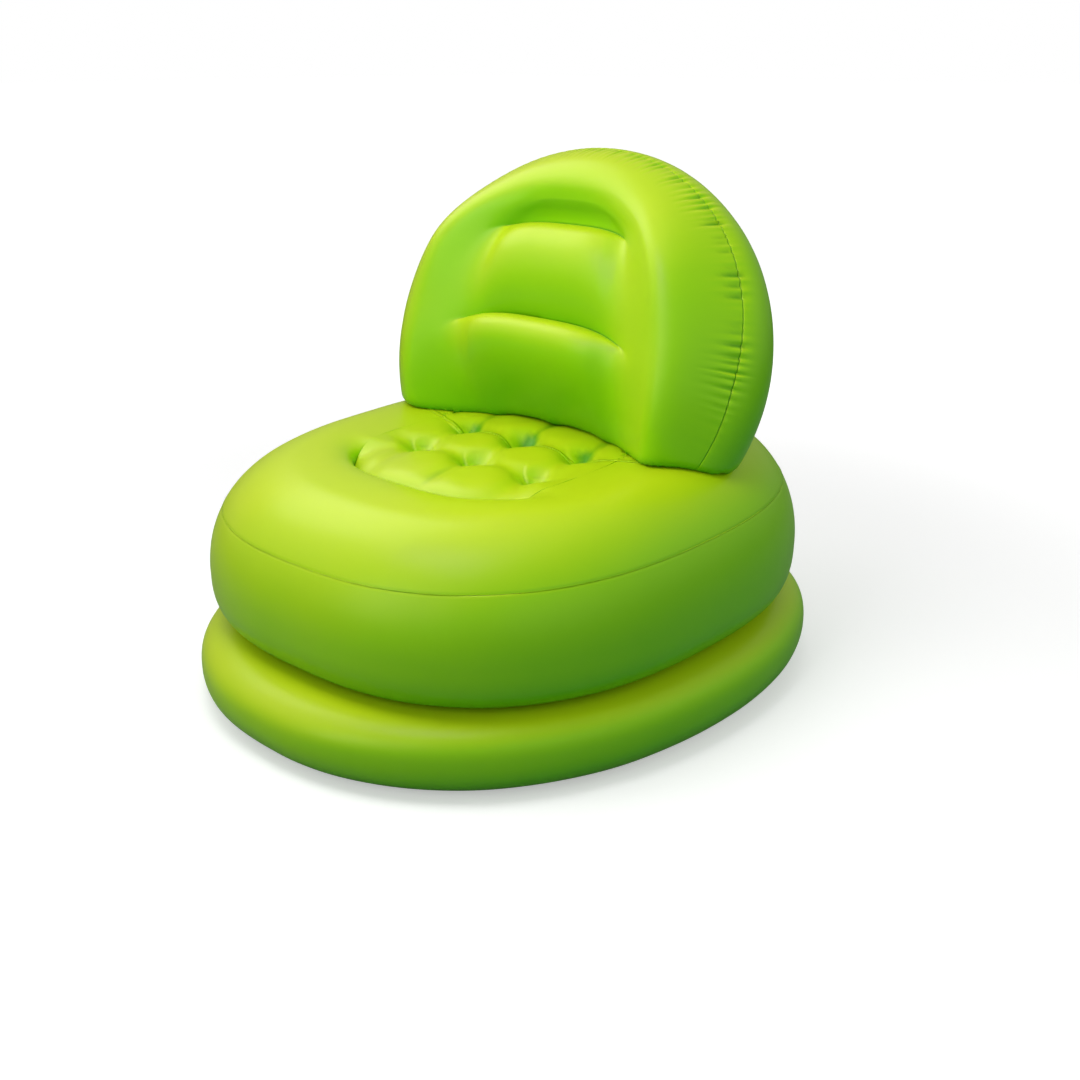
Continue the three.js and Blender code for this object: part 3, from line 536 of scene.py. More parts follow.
fold_rolls = [(rolls.uniform(-0.35, 0.35), rolls.uniform(0.75, 1.15)) for _ in tufts]


def tuft_fold(x, y, away, swing, size):
    """A curved fold of spare sheet that runs into a tuft: steep on its near side, gentle beyond."""
    turn = np.arctan2(y, x)
    reach = TUFT_FOLD_REACH * size
    line = TUFT_FOLD_TURN + swing - TUFT_FOLD_CURL * away / reach
    off = away * np.sin(turn - line)
    width = np.where(off > 0, TUFT_FOLD_STEEP_WIDTH, TUFT_FOLD_GENTLE_WIDTH)
    beside = smooth_step(0, 0.5, np.cos(turn - line))
    along = smooth_step(0.04, 0.3, away / reach) * (1 - smooth_step(0.4, 1, away / reach))
    return TUFT_FOLD_HEIGHT * size * np.exp(-(off / width) ** 2) * beside * along


def oval_share(shape, x, y):
    half_width, half_depth, middle, power = shape
    across = np.abs(x / half_width) ** power
    along = np.abs((y - middle) / half_depth) ** power
    return (across + along) ** (1 / power)


def square_to_oval(shape, cells):
    """A grid of even cells that fills an oval, without a pole."""
    lines = np.linspace(-1, 1, cells + 1)
    u, v = np.meshgrid(lines, lines)
    ring = np.maximum(np.abs(u), np.abs(v))
    safe = np.maximum(ring, 1e-9)
    turn = np.arctan2(v / safe, u / safe)
    # The corner of the square goes to the oval's diagonal.
    edge = oval_row(shape, 0, turn.ravel()).reshape(cells + 1, cells + 1, 3)
    inner_x = u * shape[0] * 0.8
    inner_y = v * shape[1] * 0.8
    share = smooth_step(0.1, 1.0, ring)
    x = mix(inner_x, edge[..., 0] * ring, share)
    y = mix(inner_y, (edge[..., 1] - shape[2]) * ring, share) + shape[2]
    return x, y


def patch_border(numbers):
    """The numbers of the points round a grid, anticlockwise from the start of its first row."""
    return np.concatenate([numbers[0, :-1], numbers[:-1, -1], numbers[-1, :0:-1], numbers[:0:-1, 0]])


def tufted_panel():
    shape = inset(well_oval, WELD_GAP)
    x, y = [values.ravel() for values in square_to_oval(shape, WELL_CELLS)]
    share = np.minimum(oval_share(shape, x, y), 1)
    points = lift_seat(np.stack([x, y, cushion_height(x, y, share)], 1))
    side = WELL_CELLS + 1
    faces = grid_faces(side, side)
    points = soften(points, faces, height=PANEL_SWELL_HEIGHT, wavelength=PANEL_SWELL_LENGTH, seed=3)
    border = patch_border(np.arange(side * side).reshape(side, side))
    faces += strip_faces(len(points) + np.arange(len(border)), border)
    return np.concatenate([points, points[border] - np.array([0, 0, WELD_HEM])]), faces


# Backrest

half_across, half_forward = BACK_WIDTH / 2, BACK_THICKNESS / 2
back_reach = (OVERALL_HEIGHT - BACK_FOOT_HEIGHT) / 2
half_up = math.sqrt(back_reach ** 2 - (half_forward * math.sin(BACK_LEAN)) ** 2) / math.cos(BACK_LEAN)
back_place = (Matrix.Translation((0, BACK_SET_BACK, OVERALL_HEIGHT - back_reach))
              @ Matrix.Rotation(math.pi / 2 - BACK_LEAN, 4, "X"))
back_turn = np.array(back_place.to_3x3())
back_origin = np.array(back_place.translation)


def stand_back(points):
    """From the backrest's leaning frame to the chair's."""
    return placed(points, back_place)


def arch_curve(share):
    return (1 - np.clip(share, 0, 1) ** ARCH_INNER_ROUNDNESS) ** (1 / ARCH_INNER_ROUNDNESS)


def arch_across(up):
    """Half the width between the arch tube's inner lines at a height up the lean."""
    return ARCH_INNER_HALF_WIDTH * arch_curve((up - ARCH_INNER_FOOT) / (ARCH_INNER_TOP - ARCH_INNER_FOOT))


def arch_up(across):
    return mix(ARCH_INNER_FOOT, ARCH_INNER_TOP, arch_curve(np.abs(across) / ARCH_INNER_HALF_WIDTH))


arch_forward = np.poly1d(np.polyfit(ARCH_INNER_UPS, ARCH_INNER_FORWARDS, 3))


def swell_at(share):
    """A bolster's swell between its creases, from 0 to 1: it grows slowly over the lower one."""
    crest = SWELL_LOW_POWER / (SWELL_LOW_POWER + SWELL_HIGH_POWER)
    top = crest ** SWELL_LOW_POWER * (1 - crest) ** SWELL_HIGH_POWER
    return share ** SWELL_LOW_POWER * (1 - share) ** SWELL_HIGH_POWER / top


patch_sides = np.linspace(-1, 1, BOLSTER_COLUMNS + 1)


def bolster(low, high, bulge, rows, fade_power):
    """Sheet between two creases, whose ends follow the arch's inner line."""
    shares = (1 - np.cos(np.linspace(0, math.pi, rows + 1))) / 2
    side, share = np.meshgrid(patch_sides, shares)
    bend = np.abs(side) ** CREASE_POWER
    middle_up = mix(low["up"][0], high["up"][0], share)
    end_up = mix(low["up"][1], high["up"][1], share)
    middle_forward = mix(low["forward"], high["forward"], share)
    swell = bulge * swell_at(share) * np.cos(math.pi / 2 * np.abs(side) ** fade_power) ** 2
    return np.stack([
        side * arch_across(end_up),
        half_up * mix(middle_up, end_up, bend),
        mix(middle_forward, arch_forward(end_up), bend) + swell,
    ], -1)


def recess_patch():
    """The D-shaped recess, from the upper crease to the top of the arch's inner line."""
    side, share = np.meshgrid(patch_sides, np.linspace(0, 1, RECESS_ROWS + 1))
    middle_up, end_up = UPPER_CREASE["up"]
    across = side * arch_across(mix(end_up, RECESS_SHOULDER, share))
    bend = np.abs(side) ** CREASE_POWER
    low_up = mix(middle_up, end_up, bend)
    low_forward = mix(UPPER_CREASE["forward"], arch_forward(end_up), bend)
    high_up = arch_up(side * arch_across(RECESS_SHOULDER))
    up = half_up * mix(low_up, high_up, share)
    dish = RECESS_DISH * 4 * share * (1 - share) * (1 - side ** 2)
    return np.stack([across, up, mix(low_forward, arch_forward(high_up), share) - dish], -1)


def front_patch():
    lower = bolster(FOOT_CREASE, LOWER_CREASE, LOWER_BULGE, LOWER_ROWS, LOWER_FADE_POWER)
    upper = bolster(LOWER_CREASE, UPPER_CREASE, UPPER_BULGE, UPPER_ROWS, UPPER_FADE_POWER)
    return np.concatenate([lower, upper[1:], recess_patch()[1:]])


def egg_point(turn, angle):
    return np.stack([
        half_across * np.cos(angle) * np.cos(turn),
        half_up * np.cos(angle) * np.sin(turn),
        half_forward * np.sin(angle) + 0 * turn,
    ], -1)


def seam_angle_at(turn):
    forward = mix(SEAM_FORWARD, SEAM_FORWARD_TOP, np.maximum(np.sin(turn), 0))
    return np.arcsin(forward / half_forward)


patch = front_patch()
# The border starts at the right end of the patch's first row and closes along that row.
border = np.roll(patch_border(np.arange(patch[..., 0].size).reshape(patch.shape[:2])), -BOLSTER_COLUMNS)


def slopes_outward():
    """How steeply the patch rises outwards where it meets the arch tube."""
    points = patch.reshape(-1, 3)
    normals = point_normals(points, grid_faces(*patch.shape[:2]))[border]
    loop = points[border]
    outward = unit(loop[:, :2] - np.array([0, ARCH_CENTRE_UP]))
    slope = -(normals[:, :2] * outward).sum(1) / np.maximum(normals[:, 2], 0.2)
    slope = np.clip(slope, *SLOPE_LIMITS)
    slope[-BOLSTER_COLUMNS:] = 0
    reach = lengths_along(loop)
    apart = np.abs(reach[:, None] - reach[None, :])
    apart = np.minimum(apart, reach[-1] - apart)
    near = np.exp(-(apart / SLOPE_REACH) ** 2)
    return near @ slope / near.sum(1)


def neighbour_means(points, edges):
    total = np.zeros_like(points)
    np.add.at(total, edges[:, 0], points[edges[:, 1]])
    np.add.at(total, edges[:, 1], points[edges[:, 0]])
    return total / np.maximum(np.bincount(edges.ravel(), minlength=len(points))[:, None], 1)


def relax(points, faces, weights, rounds):
    """Evens out the points that have a weight, each towards the mean of its neighbours."""
    kept, own = merged(points)
    corners = [[own[corner] for corner in face] for face in faces]
    edges = np.array([(a, b) for face in corners for a, b in zip(face, [*face[1:], face[0]]) if a != b])
    moved = points[kept]
    share = weights[kept][:, None] * 0.6
    for _ in range(rounds):
        moved = mix(moved, neighbour_means(moved, edges), share)
    return moved[own]


def arch_rows(loop, slope, seam_turns, shares):
    """Rows of the arch tube, from the seam (share 0) to its inner line (share 1)."""
    angle = seam_angle_at(seam_turns)
    seam = egg_point(seam_turns, angle)
    tangent = unit(egg_point(seam_turns, angle + 0.01) - seam)
    chord = np.linalg.norm(loop - seam, axis=1, keepdims=True)
    outward = unit((seam - loop) * np.array([1, 1, 0]))
    under = np.clip(-np.sin(seam_turns), 0, 1)[:, None] ** 2
    start_pull = seam + tangent * chord * mix(ARCH_OUTER_FULLNESS, ARCH_UNDER_FULLNESS, under)
    up = loop[:, 1] / half_up
    rise = slope + ARCH_RISE_BESIDE_LOWER * (1 - smooth_step(-0.2, 0.2, up))
    spread = mix(ARCH_INNER_SPREAD, ARCH_TOP_SPREAD, smooth_step(0.3, 0.74, up))
    spread = mix(spread, ARCH_UNDER_SPREAD, under[:, 0])
    end_pull = loop + outward * spread[:, None]
    end_pull[:, 2] += spread * rise
    return [(1 - share) ** 3 * seam + 3 * (1 - share) ** 2 * share * start_pull
            + 3 * (1 - share) * share ** 2 * end_pull + share ** 3 * loop for share in shares]


def pucker_line(seam_turns):
    """How far the gathers draw the sheet in along the seam: sharp pinches between soft folds."""
    seam = egg_point(seam_turns, seam_angle_at(seam_turns))
    reach = lengths_along(np.concatenate([seam, seam[:1]]))
    marks = [0.0]
    while marks[-1] < reach[-1]:
        marks.append(marks[-1] + PUCKER_PITCH * rolls.uniform(0.65, 1.4))
    marks = np.array(marks) * reach[-1] / marks[-1]
    phases = np.interp(reach[:-1], marks, np.arange(len(marks)))
    sizes = np.array([rolls.uniform(0.3, 1.0) for _ in marks])
    pinch = np.cos(math.pi * phases) ** 4
    size = sizes[np.round(phases).astype(int) % (len(marks) - 1)]
    up = np.sin(seam_turns)
    gather = smooth_step(-0.25, 0.25, up) * mix(1.0, 0.55, smooth_step(0.75, 1, up))
    return pinch * size * mix(0.12, 1.0, gather)


def dip_with_puckers(rows, pinch, seam_turns, reach):
    """Draws rows of points in beside the seam: a groove all along, and a pinch at each gather."""
    seam = egg_point(seam_turns, seam_angle_at(seam_turns))
    normals = point_normals(np.concatenate(rows), ring_faces(len(rows), len(seam)))
    rows = np.stack(rows)
    distance = np.linalg.norm(rows - seam, axis=2)
    depth = seam_groove(distance) + PUCKER_DEPTH * pinch * np.exp(-(distance / reach) ** 1.3)
    return rows - normals.reshape(rows.shape) * depth[..., None]


def band_faces(coarse_first, fine_first, count):
    """Joins a ring of points to one with twice as many."""
    faces = []
    for index in range(count):
        after = (index + 1) % count
        middle = fine_first + 2 * index + 1
        end = fine_first + 2 * after
        faces.append([fine_first + 2 * index, middle, coarse_first + index])
        faces.append([middle, end, coarse_first + after, coarse_first + index])
    return faces


def doubled(row):
    """A closed row with a point added halfway along each step."""
    between = (row + np.roll(row, -1, axis=0)) / 2
    return np.stack([row, between], 1).reshape(-1, row.shape[1])


def loop_turns(loop):
    return np.arctan2(loop[:, 1] / half_up, loop[:, 0] / half_across)


loop = patch.reshape(-1, 3)[border]
turns = loop_turns(loop)
fine_turns = loop_turns(doubled(loop))
pinch = pucker_line(fine_turns)


def band_steps(count):
    """Steps away from the seam, which are closer beside it."""
    return BAND_SHARE * np.linspace(0, 1, count) ** 1.6


def front_sheet():
    """From the seam inwards: a finer band with the gathers, the arch tube, the patch and the hem."""
    slope = slopes_outward()
    count = len(loop)
    fine_slope = doubled(slope[:, None])[:, 0]
    band = arch_rows(doubled(loop), fine_slope, fine_turns, band_steps(SEAM_BAND_ROWS + 1))
    band = dip_with_puckers(band, pinch, fine_turns, PUCKER_REACH)
    tube_shares = np.linspace(BAND_SHARE, 1, ARCH_ROWS + 1)[1:-1]
    tube = arch_rows(loop, slope, turns, tube_shares)
    tube_first = len(band) * 2 * count
    patch_first = tube_first + len(tube) * count
    faces = ring_faces(len(band), 2 * count)
    faces += band_faces(tube_first, tube_first - 2 * count, count)
    faces += ring_faces(len(tube), count, tube_first)
    faces += strip_faces(patch_first - count + np.arange(count), patch_first + border)
    faces += grid_faces(*patch.shape[:2], patch_first)

    def weights(low, high, in_patch):
        in_tube = np.repeat(smooth_step(low, high, tube_shares), count)
        return np.concatenate([np.zeros(tube_first), in_tube, in_patch.ravel()])

    side, row = np.meshgrid(np.abs(patch_sides), np.arange(len(patch)))
    recess_share = (row - LOWER_ROWS - UPPER_ROWS) / RECESS_ROWS
    near_tube = np.maximum(smooth_step(0.8, 0.97, side), smooth_step(0.6, 0.95, recess_share))
    points = np.concatenate([*band, *tube, patch.reshape(-1, 3)])
    points = relax(points, faces, weights(0.55, 0.95, near_tube), RELAX_ROUNDS)
    # The bolsters' ends run on into the arch tube with no fold, apart from where a crease ends.
    from_crease = np.minimum(np.abs(row - LOWER_ROWS) / LOWER_ROWS, np.abs(recess_share))
    clear_of_creases = smooth_step(0.6, 0.95, side) * smooth_step(0.05, 0.3, from_crease)
    points = relax(points, faces, weights(0.7, 1.0, clear_of_creases), EASE_ROUNDS)
    eased_patch = points[patch_first:].reshape(patch.shape)
    edge = np.arange(2 * count)
    faces += strip_faces(len(points) + edge, edge)
    return np.concatenate([points, drawn_in(band[0], half_across, half_up)]), faces, eased_patch


def rear_row(row_turns, share):
    return egg_point(row_turns, mix(-math.pi / 2, seam_angle_at(row_turns), share))


def rear_sheet():
    """From the middle of the back outwards: even rows, a finer band with the gathers, and the hem."""
    count = len(turns)
    band_shares = 1 - 0.5 * band_steps(SEAM_BAND_ROWS - 1)
    band = [rear_row(fine_turns, share) for share in band_shares[::-1]]
    band = dip_with_puckers(band, pinch, fine_turns, PUCKER_REACH_BEHIND)
    rows = [rear_row(turns, share) for share in np.linspace(0.02, band_shares[-1], REAR_ROWS + 1)[:-1]]
    middle = egg_point(np.array([0.0]), np.array(-math.pi / 2))
    fine_first = len(rows) * count
    faces = ring_faces(len(rows), count)
    faces += [face[::-1] for face in band_faces(fine_first - count, fine_first, count)]
    faces += ring_faces(len(band) + 1, 2 * count, fine_first)
    points = np.concatenate([*rows, *band, drawn_in(band[-1], half_across, half_up), middle])
    faces += [[(index + 1) % count, index, len(points) - 1] for index in range(count)]
    return points, faces


def seat_heights(points, tree):
    """How high the seat lies under each low point, and minus infinity for the other points."""
    heights = []
    for x, y, z in points:
        start = Vector((x, y, PROBE_HEIGHT))
        hit = tree.ray_cast(start, Vector((0, 0, -1)))[0] if z < CLEAR_OF_SEAT_HEIGHT else None
        heights.append(-math.inf if hit is None else hit.z)
    return np.array(heights)


def rest_on(points, tree, gap=WELD_GAP):
    """Sheet that would lie below the seat's surface lies on it instead."""
    rested = points.copy()
    rested[:, 2] = np.maximum(points[:, 2], seat_heights(points, tree) + gap)
    return rested


def round_foot(points, tree, gap=WELD_GAP):
    """An inflated body that stands on another curls in under itself before they touch."""
    outward = (points - back_origin) @ back_turn / np.array([half_across, half_up, half_forward]) ** 2
    outward = unit(outward @ back_turn.T)
    short = np.clip(1 - (points[:, 2] - seat_heights(points, tree)) / FOOT_ROUNDING, 0, 1)
    curled = points.copy()
    curled[:, :2] -= outward[:, :2] * (FOOT_ROUNDING * (1 - np.sqrt(1 - short ** 2)))[:, None]
    return rest_on(curled, tree, gap)


# Meshes and materials

def make_piece(name, points, faces):
    points, faces = weld(points, faces)
    mesh = bpy.data.meshes.new(name)
    mesh.from_pydata((points * METRE).tolist(), [], faces)
    mesh.validate()
    mesh.polygons.foreach_set("use_smooth", [True] * len(mesh.polygons))
    piece = bpy.data.objects.new(name, mesh)
    bpy.context.scene.collection.objects.link(piece)
    return piece


def apply_modifier(piece, kind, **settings):
    modifier = piece.modifiers.new(kind.lower(), kind)
    for key, value in settings.items():
        setattr(modifier, key, value)
    depsgraph = bpy.context.evaluated_depsgraph_get()
    made = bpy.data.meshes.new_from_object(piece.evaluated_get(depsgraph), depsgraph=depsgraph)
    piece.modifiers.clear()
    old = piece.data
    piece.data = made
    bpy.data.meshes.remove(old)


def read_numbers(collection, key, kind, columns):
    numbers = np.zeros(len(collection) * columns, kind)
    collection.foreach_get(key, numbers)
    return numbers.reshape(-1, columns)


def mark_creases(piece):
    """Stores how deep in a fold the surface lies at each point, from 0 to 1, where the vinyl's colour is
    darkened as painted shade.
    """
    mesh = piece.data
    points = read_numbers(mesh.vertices, "co", float, 3)
    normals = read_numbers(mesh.vertices, "normal", float, 3)
    edges = read_numbers(mesh.edges, "vertices", int, 2)
    mean = points
    for _ in range(HOLLOW_ROUNDS):
        mean = neighbour_means(mean, edges)
    hollow_shade = ((mean - points) * normals).sum(1) / METRE
    value = np.clip((hollow_shade - HOLLOW_FROM) / HOLLOW_REACH, 0, 1)
    attribute = mesh.attributes.new("hollow_shade", "FLOAT", "POINT")
    attribute.data.foreach_set("value", value.astype(np.float32))


def wire(node, *firsts, **named):
    """Sets a node's settings, named in small letters, and its inputs: each a value, a socket or a node."""
    for key, value in [*named.items(), *enumerate(firsts)]:
        if str(key).islower():
            setattr(node, key, value)
            continue
        socket = node.inputs[key.replace("_", " ") if isinstance(key, str) else key]
        if isinstance(value, bpy.types.Node):
            value = value.outputs[0]
        if isinstance(value, bpy.types.NodeSocket):
            node.id_data.links.new(value, socket)
        else:
            socket.default_value = value
    return node


def node_of(tree, kind, *firsts, **named):
    return wire(tree.nodes.new(f"ShaderNode{kind}"), *firsts, **named)


def new_material(name):
    material = bpy.data.materials.new(name)
    material.use_nodes = True
    return material, material.node_tree


# Painted light and shade: sheet that faces this way is painted pale and yellowish, as if lit, and sheet
# that faces away is painted a deeper green, as if in shade.
PAINTED_LIGHT_SIDE = (-0.52, -0.12, 0.845)
COLOR_STOPS = (0.18, 0.57, 0.97)


def vinyl_material(name, light, middle, shaded, roughness, crease=None):
    """Soft vinyl sheet: satin gloss, faint clouds, fine grain, painted light and shade by the way it faces,
    and painted shade where it folds in.
    """
    material, tree = new_material(name)
    coordinates = node_of(tree, "TexCoord").outputs
    place = coordinates["Object"]
    cloud = node_of(tree, "TexNoise", Vector=place, Scale=7.0, Detail=3.0, Roughness=0.55)
    # Painted light and shade: the colour ramp runs from the shaded stop to the lit stop as the surface
    # turns towards the painted light's side.
    facing = node_of(tree, "VectorMath", coordinates["Normal"], PAINTED_LIGHT_SIDE, operation="DOT_PRODUCT")
    toward = node_of(tree, "MapRange", Value=facing.outputs["Value"], From_Min=-1, From_Max=1)
    shade = node_of(tree, "Math", cloud, 0.08, toward, operation="MULTIPLY_ADD")
    color = node_of(tree, "ValToRGB", shade)
    elements = color.color_ramp.elements
    elements.new(0.5)
    for element, stop, stop_color in zip(elements, COLOR_STOPS, (shaded, middle, light)):
        element.position = stop
        element.color = (*stop_color, 1)
    # Painted shade: the crease colour is blended in where the surface lies deep in a fold.
    if crease:
        mark = node_of(tree, "Attribute", attribute_name="hollow_shade").outputs["Fac"]
        blend = node_of(tree, "Mix", data_type="RGBA", Factor=mark, A=color, B=(*crease, 1))
        color = blend.outputs["Result"]
    smudge = node_of(tree, "TexNoise", Vector=place, Scale=19.0, Detail=4.0, Roughness=0.6)
    shine = node_of(tree, "MapRange", Value=smudge, To_Min=roughness - 0.035, To_Max=roughness + 0.045)
    grain = node_of(tree, "TexNoise", Vector=place, Scale=900.0, Detail=2.0)
    ripple = node_of(tree, "TexNoise", Vector=place, Scale=26.0, Detail=1.0)
    fine = node_of(tree, "Bump", Height=grain, Strength=0.06, Distance=0.0004)
    broad = node_of(tree, "Bump", Height=ripple, Normal=fine, Strength=0.12, Distance=0.0012)
    wire(tree.nodes["Principled BSDF"], Base_Color=color, Roughness=shine, Normal=broad,
         Specular_IOR_Level=0.38, Coat_Weight=0.07, Coat_Roughness=0.18)
    return material


# Painted light and shade: each material's first colour is its lit tone, its second its middle tone and its
# third its shaded tone, and the skin's crease colour is painted shade in folds.
skin = vinyl_material("lime_vinyl", (0.52, 0.68, 0.006), (0.26, 0.60, 0.001), (0.09, 0.44, 0.001),
                      roughness=0.34, crease=(0.10, 0.36, 0.001))
inner_sheet = vinyl_material("lime_vinyl_back", (0.50, 0.72, 0.05), (0.38, 0.64, 0.03), (0.25, 0.52, 0.01),
                             roughness=0.5)
cup_vinyl = vinyl_material("moulded_lime_vinyl", (0.54, 0.76, 0.04), (0.42, 0.68, 0.02), (0.28, 0.55, 0.01),
                           roughness=0.3)
plug_vinyl = vinyl_material("milky_vinyl", (0.88, 0.90, 0.84), (0.82, 0.86, 0.78), (0.74, 0.80, 0.68),
                            roughness=0.28)


def finish_piece(piece, node, material, body="chair"):
    """Gives a piece its material and its place in the frame."""
    piece.data.materials.clear()
    piece.data.materials.append(material)
    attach(piece, body)
    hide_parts(node)


def thicken(piece, offset):
    """Gives a sheet its wall: inwards at offset -1, and to both sides at 0."""
    apply_modifier(piece, "SOLIDIFY", thickness=SHEET_WALL * METRE, offset=offset, use_even_offset=False)


def cut_away(piece, cutter, operation="DIFFERENCE"):
    apply_modifier(piece, "BOOLEAN", operation=operation, object=cutter, solver="MANIFOLD")
    bpy.data.objects.remove(cutter)


def finish_skin(piece, node, hole=None):
    """Gives a skin its wall and its valve hole."""
    thicken(piece, -1)
    if hole is not None:
        cut_away(piece, hole)
    mark_creases(piece)
    finish_piece(piece, node, skin)


def add_tie(name, surface, node, ports):
    """A sheet inside the chair, with its wall and its air ports."""
    piece = make_piece(name, *surface)
    thicken(piece, 0)
    for port in ports:
        cut_away(piece, port)
    finish_piece(piece, node, inner_sheet)


# Turned and swept mouldings: profiles are radii and heights, in a frame whose Z points out of the skin

def rounded(corners, rounding, closed=True, steps=4):
    """A path whose corners are rounded off, except its ends and those on the axis."""
    points = []
    count = len(corners)
    corners = np.array(corners, float)
    for index, corner in enumerate(corners):
        back = corners[index - 1] - corner
        ahead = corners[(index + 1) % count] - corner
        if corner[0] == 0 or (not closed and index in (0, count - 1)):
            points.append(corner)
            continue
        reach = min(rounding, 0.45 * np.linalg.norm(back), 0.45 * np.linalg.norm(ahead))
        start = corner + back / np.linalg.norm(back) * reach
        end = corner + ahead / np.linalg.norm(ahead) * reach
        for share in np.linspace(0, 1, steps + 1):
            points.append(mix(mix(start, corner, share), mix(corner, end, share), share))
    return np.array(points)


def box(left, right, bottom, top):
    return [(left, bottom), (right, bottom), (right, top), (left, top)]


def turned(profile, steps=VALVE_STEPS):
    """Turns a closed profile, anticlockwise from its foot, round the Z axis."""
    turns = np.arange(steps) / steps * 2 * math.pi
    rows = [np.stack([radius * np.cos(turns), radius * np.sin(turns), np.full(steps, height)], 1)
            for radius, height in [*profile, profile[0]]]
    return weld(np.concatenate(rows), ring_faces(len(rows), steps))


def swept(path, width, thickness):
    """A strap with rounded edges along a path in the XZ plane."""
    outline = rounded(box(-width / 2, width / 2, -thickness / 2, thickness / 2), thickness * 0.3)
    rows = [np.stack([x - outline[:, 1] * ahead_z, outline[:, 0], z + outline[:, 1] * ahead_x], 1)
            for (x, z), (ahead_x, ahead_z) in zip(path, unit(np.gradient(path, axis=0)))]
    count = len(outline)
    faces = ring_faces(len(rows), count)
    last = (len(rows) - 1) * count
    faces += [list(range(count))[::-1], list(range(last, last + count))]
    return np.concatenate(rows), faces


def rod(radius, place, length=CUTTER_LENGTH):
    """A cylinder that cuts a hole."""
    points, faces = turned(box(0, radius, -length / 2, length / 2))
    return make_piece("cutter", placed(points, place), faces)


# The seat, the base and the backrest

def seat_tree(*surfaces):
    points, faces = [], []
    for surface_points, surface_faces in surfaces:
        faces += [[corner + len(points) for corner in face] for face in surface_faces]
        points += surface_points.tolist()
    return BVHTree.FromPolygons(points, faces)


lower_surface = seat_lower()
upper_surface = seat_upper()
panel_surface = tufted_panel()
on_seat = seat_tree(upper_surface, panel_surface)
front_points, front_faces, eased_patch = front_sheet()
rear_points, rear_faces = rear_sheet()
front_points = round_foot(soften(stand_back(front_points), front_faces, seed=6), on_seat)
rear_points = round_foot(soften(stand_back(rear_points), rear_faces, seed=7), on_seat, gap=WELD_GAP / 3)

base_piece = make_piece("base_ring_skin", *base_ring())
lower_piece = make_piece("seat_lower_skin", *lower_surface)
upper_piece = make_piece("seat_upper_skin", *upper_surface)
panel_piece = make_piece("seat_tufted_skin", *panel_surface)
front_piece = make_piece("backrest_front_skin", front_points, front_faces)
rear_piece = make_piece("backrest_rear_skin", rear_points, rear_faces)


def outward_frame(spot, outward):
    """The frame of a valve, whose Z axis points out of the skin."""
    turn = Vector((0, 0, 1)).rotation_difference(Vector(outward))
    return Matrix.Translation(spot) @ turn.to_matrix().to_4x4()


def back_valve_frame():
    """Low on the sitter's left, just behind the backrest's widest line"""
    centre = OVERALL_HEIGHT - back_reach
    low = half_forward * math.sin(BACK_VALVE_BEHIND) * math.sin(BACK_LEAN)
    up = (RIM_HEIGHT + BACK_VALVE_ABOVE_RIM - centre - low) / math.cos(BACK_LEAN)
    turn = math.asin(up / (half_up * math.cos(BACK_VALVE_BEHIND)))
    spot = egg_point(np.array(turn), np.array(BACK_VALVE_BEHIND))
    outward = spot / np.array([half_across, half_up, half_forward]) ** 2
    return outward_frame(stand_back(spot), outward @ back_turn.T)


def seat_valve_frame():
    """On the lower wall, behind"""
    shape = rim_row(rim_angle(SEAT_VALVE_HEIGHT))[0]
    spot = lift_seat(oval_row(shape, SEAT_VALVE_HEIGHT, np.array([SEAT_VALVE_TURN])))[0]
    power = 2 - 2 / SEAT_ROUNDNESS
    outward = (abs(math.cos(SEAT_VALVE_TURN)) ** power / shape[0],
               abs(math.sin(SEAT_VALVE_TURN)) ** power / shape[1], 0)
    return outward_frame(spot, outward)


CUP_OUTER = CUP_RADIUS + CUP_WALL
CUP_FLOOR = CUP_WALL - CUP_DEPTH
STEM_TOP = -STEM_SINK
STEM_COLLAR = STEM_RADIUS + STEM_LIP_WIDTH
STEM_COLLAR_TOP = -CUP_DEPTH - RUNNING_GAP - STEM_TRAVEL
STEM_BOTTOM = STEM_COLLAR_TOP - STEM_LIP_HEIGHT
TETHER_BOTTOM = STEM_TOP - STEM_LIP_HEIGHT - RUNNING_GAP - PLUG_TRAVEL - TETHER_THICKNESS
TETHER_INNER = STEM_RADIUS + RUNNING_GAP
STRAP_INNER = STEM_COLLAR + 2 * RUNNING_GAP
MOULD_ROUNDING = 0.35
MOULD_SHARP_ANGLE = math.radians(50)


def skin_height(tree, place, x, y):
    """How far a skin lies above the valve's own plane."""
    start = place @ Vector((x, y, VALVE_PROBE_HEIGHT))
    hit = tree.ray_cast(start, place.to_3x3() @ Vector((0, 0, -1)))[0]
    return VALVE_PROBE_HEIGHT - (start - hit).length


def make_cup(place, tree):
    """The welded ring follows the skin, and the cup goes through it."""
    points, faces = turned(rounded([
        (TETHER_INNER, -CUP_DEPTH), (CUP_OUTER, -CUP_DEPTH), (CUP_OUTER, RING_LIFT),
        (RING_RADIUS, RING_LIFT), (RING_RADIUS, RING_EDGE_TOP), (CUP_OUTER + RING_CREST_OUT, RING_CREST),
        (CUP_RADIUS, RING_INNER_TOP), (CUP_RADIUS, CUP_FLOOR), (TETHER_INNER, CUP_FLOOR),
    ], MOULD_ROUNDING))
    for point in points:
        share = smooth_step(-CUP_BEND_DEPTH, 0, point[2])
        if share > 0:
            reach = math.hypot(point[0], point[1])
            scale = max(reach, CUP_OUTER) / reach
            point[2] += share * skin_height(tree, place, point[0] * scale, point[1] * scale)
    return points, faces


def make_stem():
    lip = STEM_TOP - STEM_LIP_HEIGHT
    return turned(rounded([
        (STEM_BORE, STEM_BOTTOM), (STEM_COLLAR, STEM_BOTTOM), (STEM_COLLAR, STEM_COLLAR_TOP),
        (STEM_RADIUS, STEM_COLLAR_TOP), (STEM_RADIUS, lip), (STEM_COLLAR, lip),
        (STEM_COLLAR, STEM_TOP), (STEM_BORE, STEM_TOP),
    ], MOULD_ROUNDING))


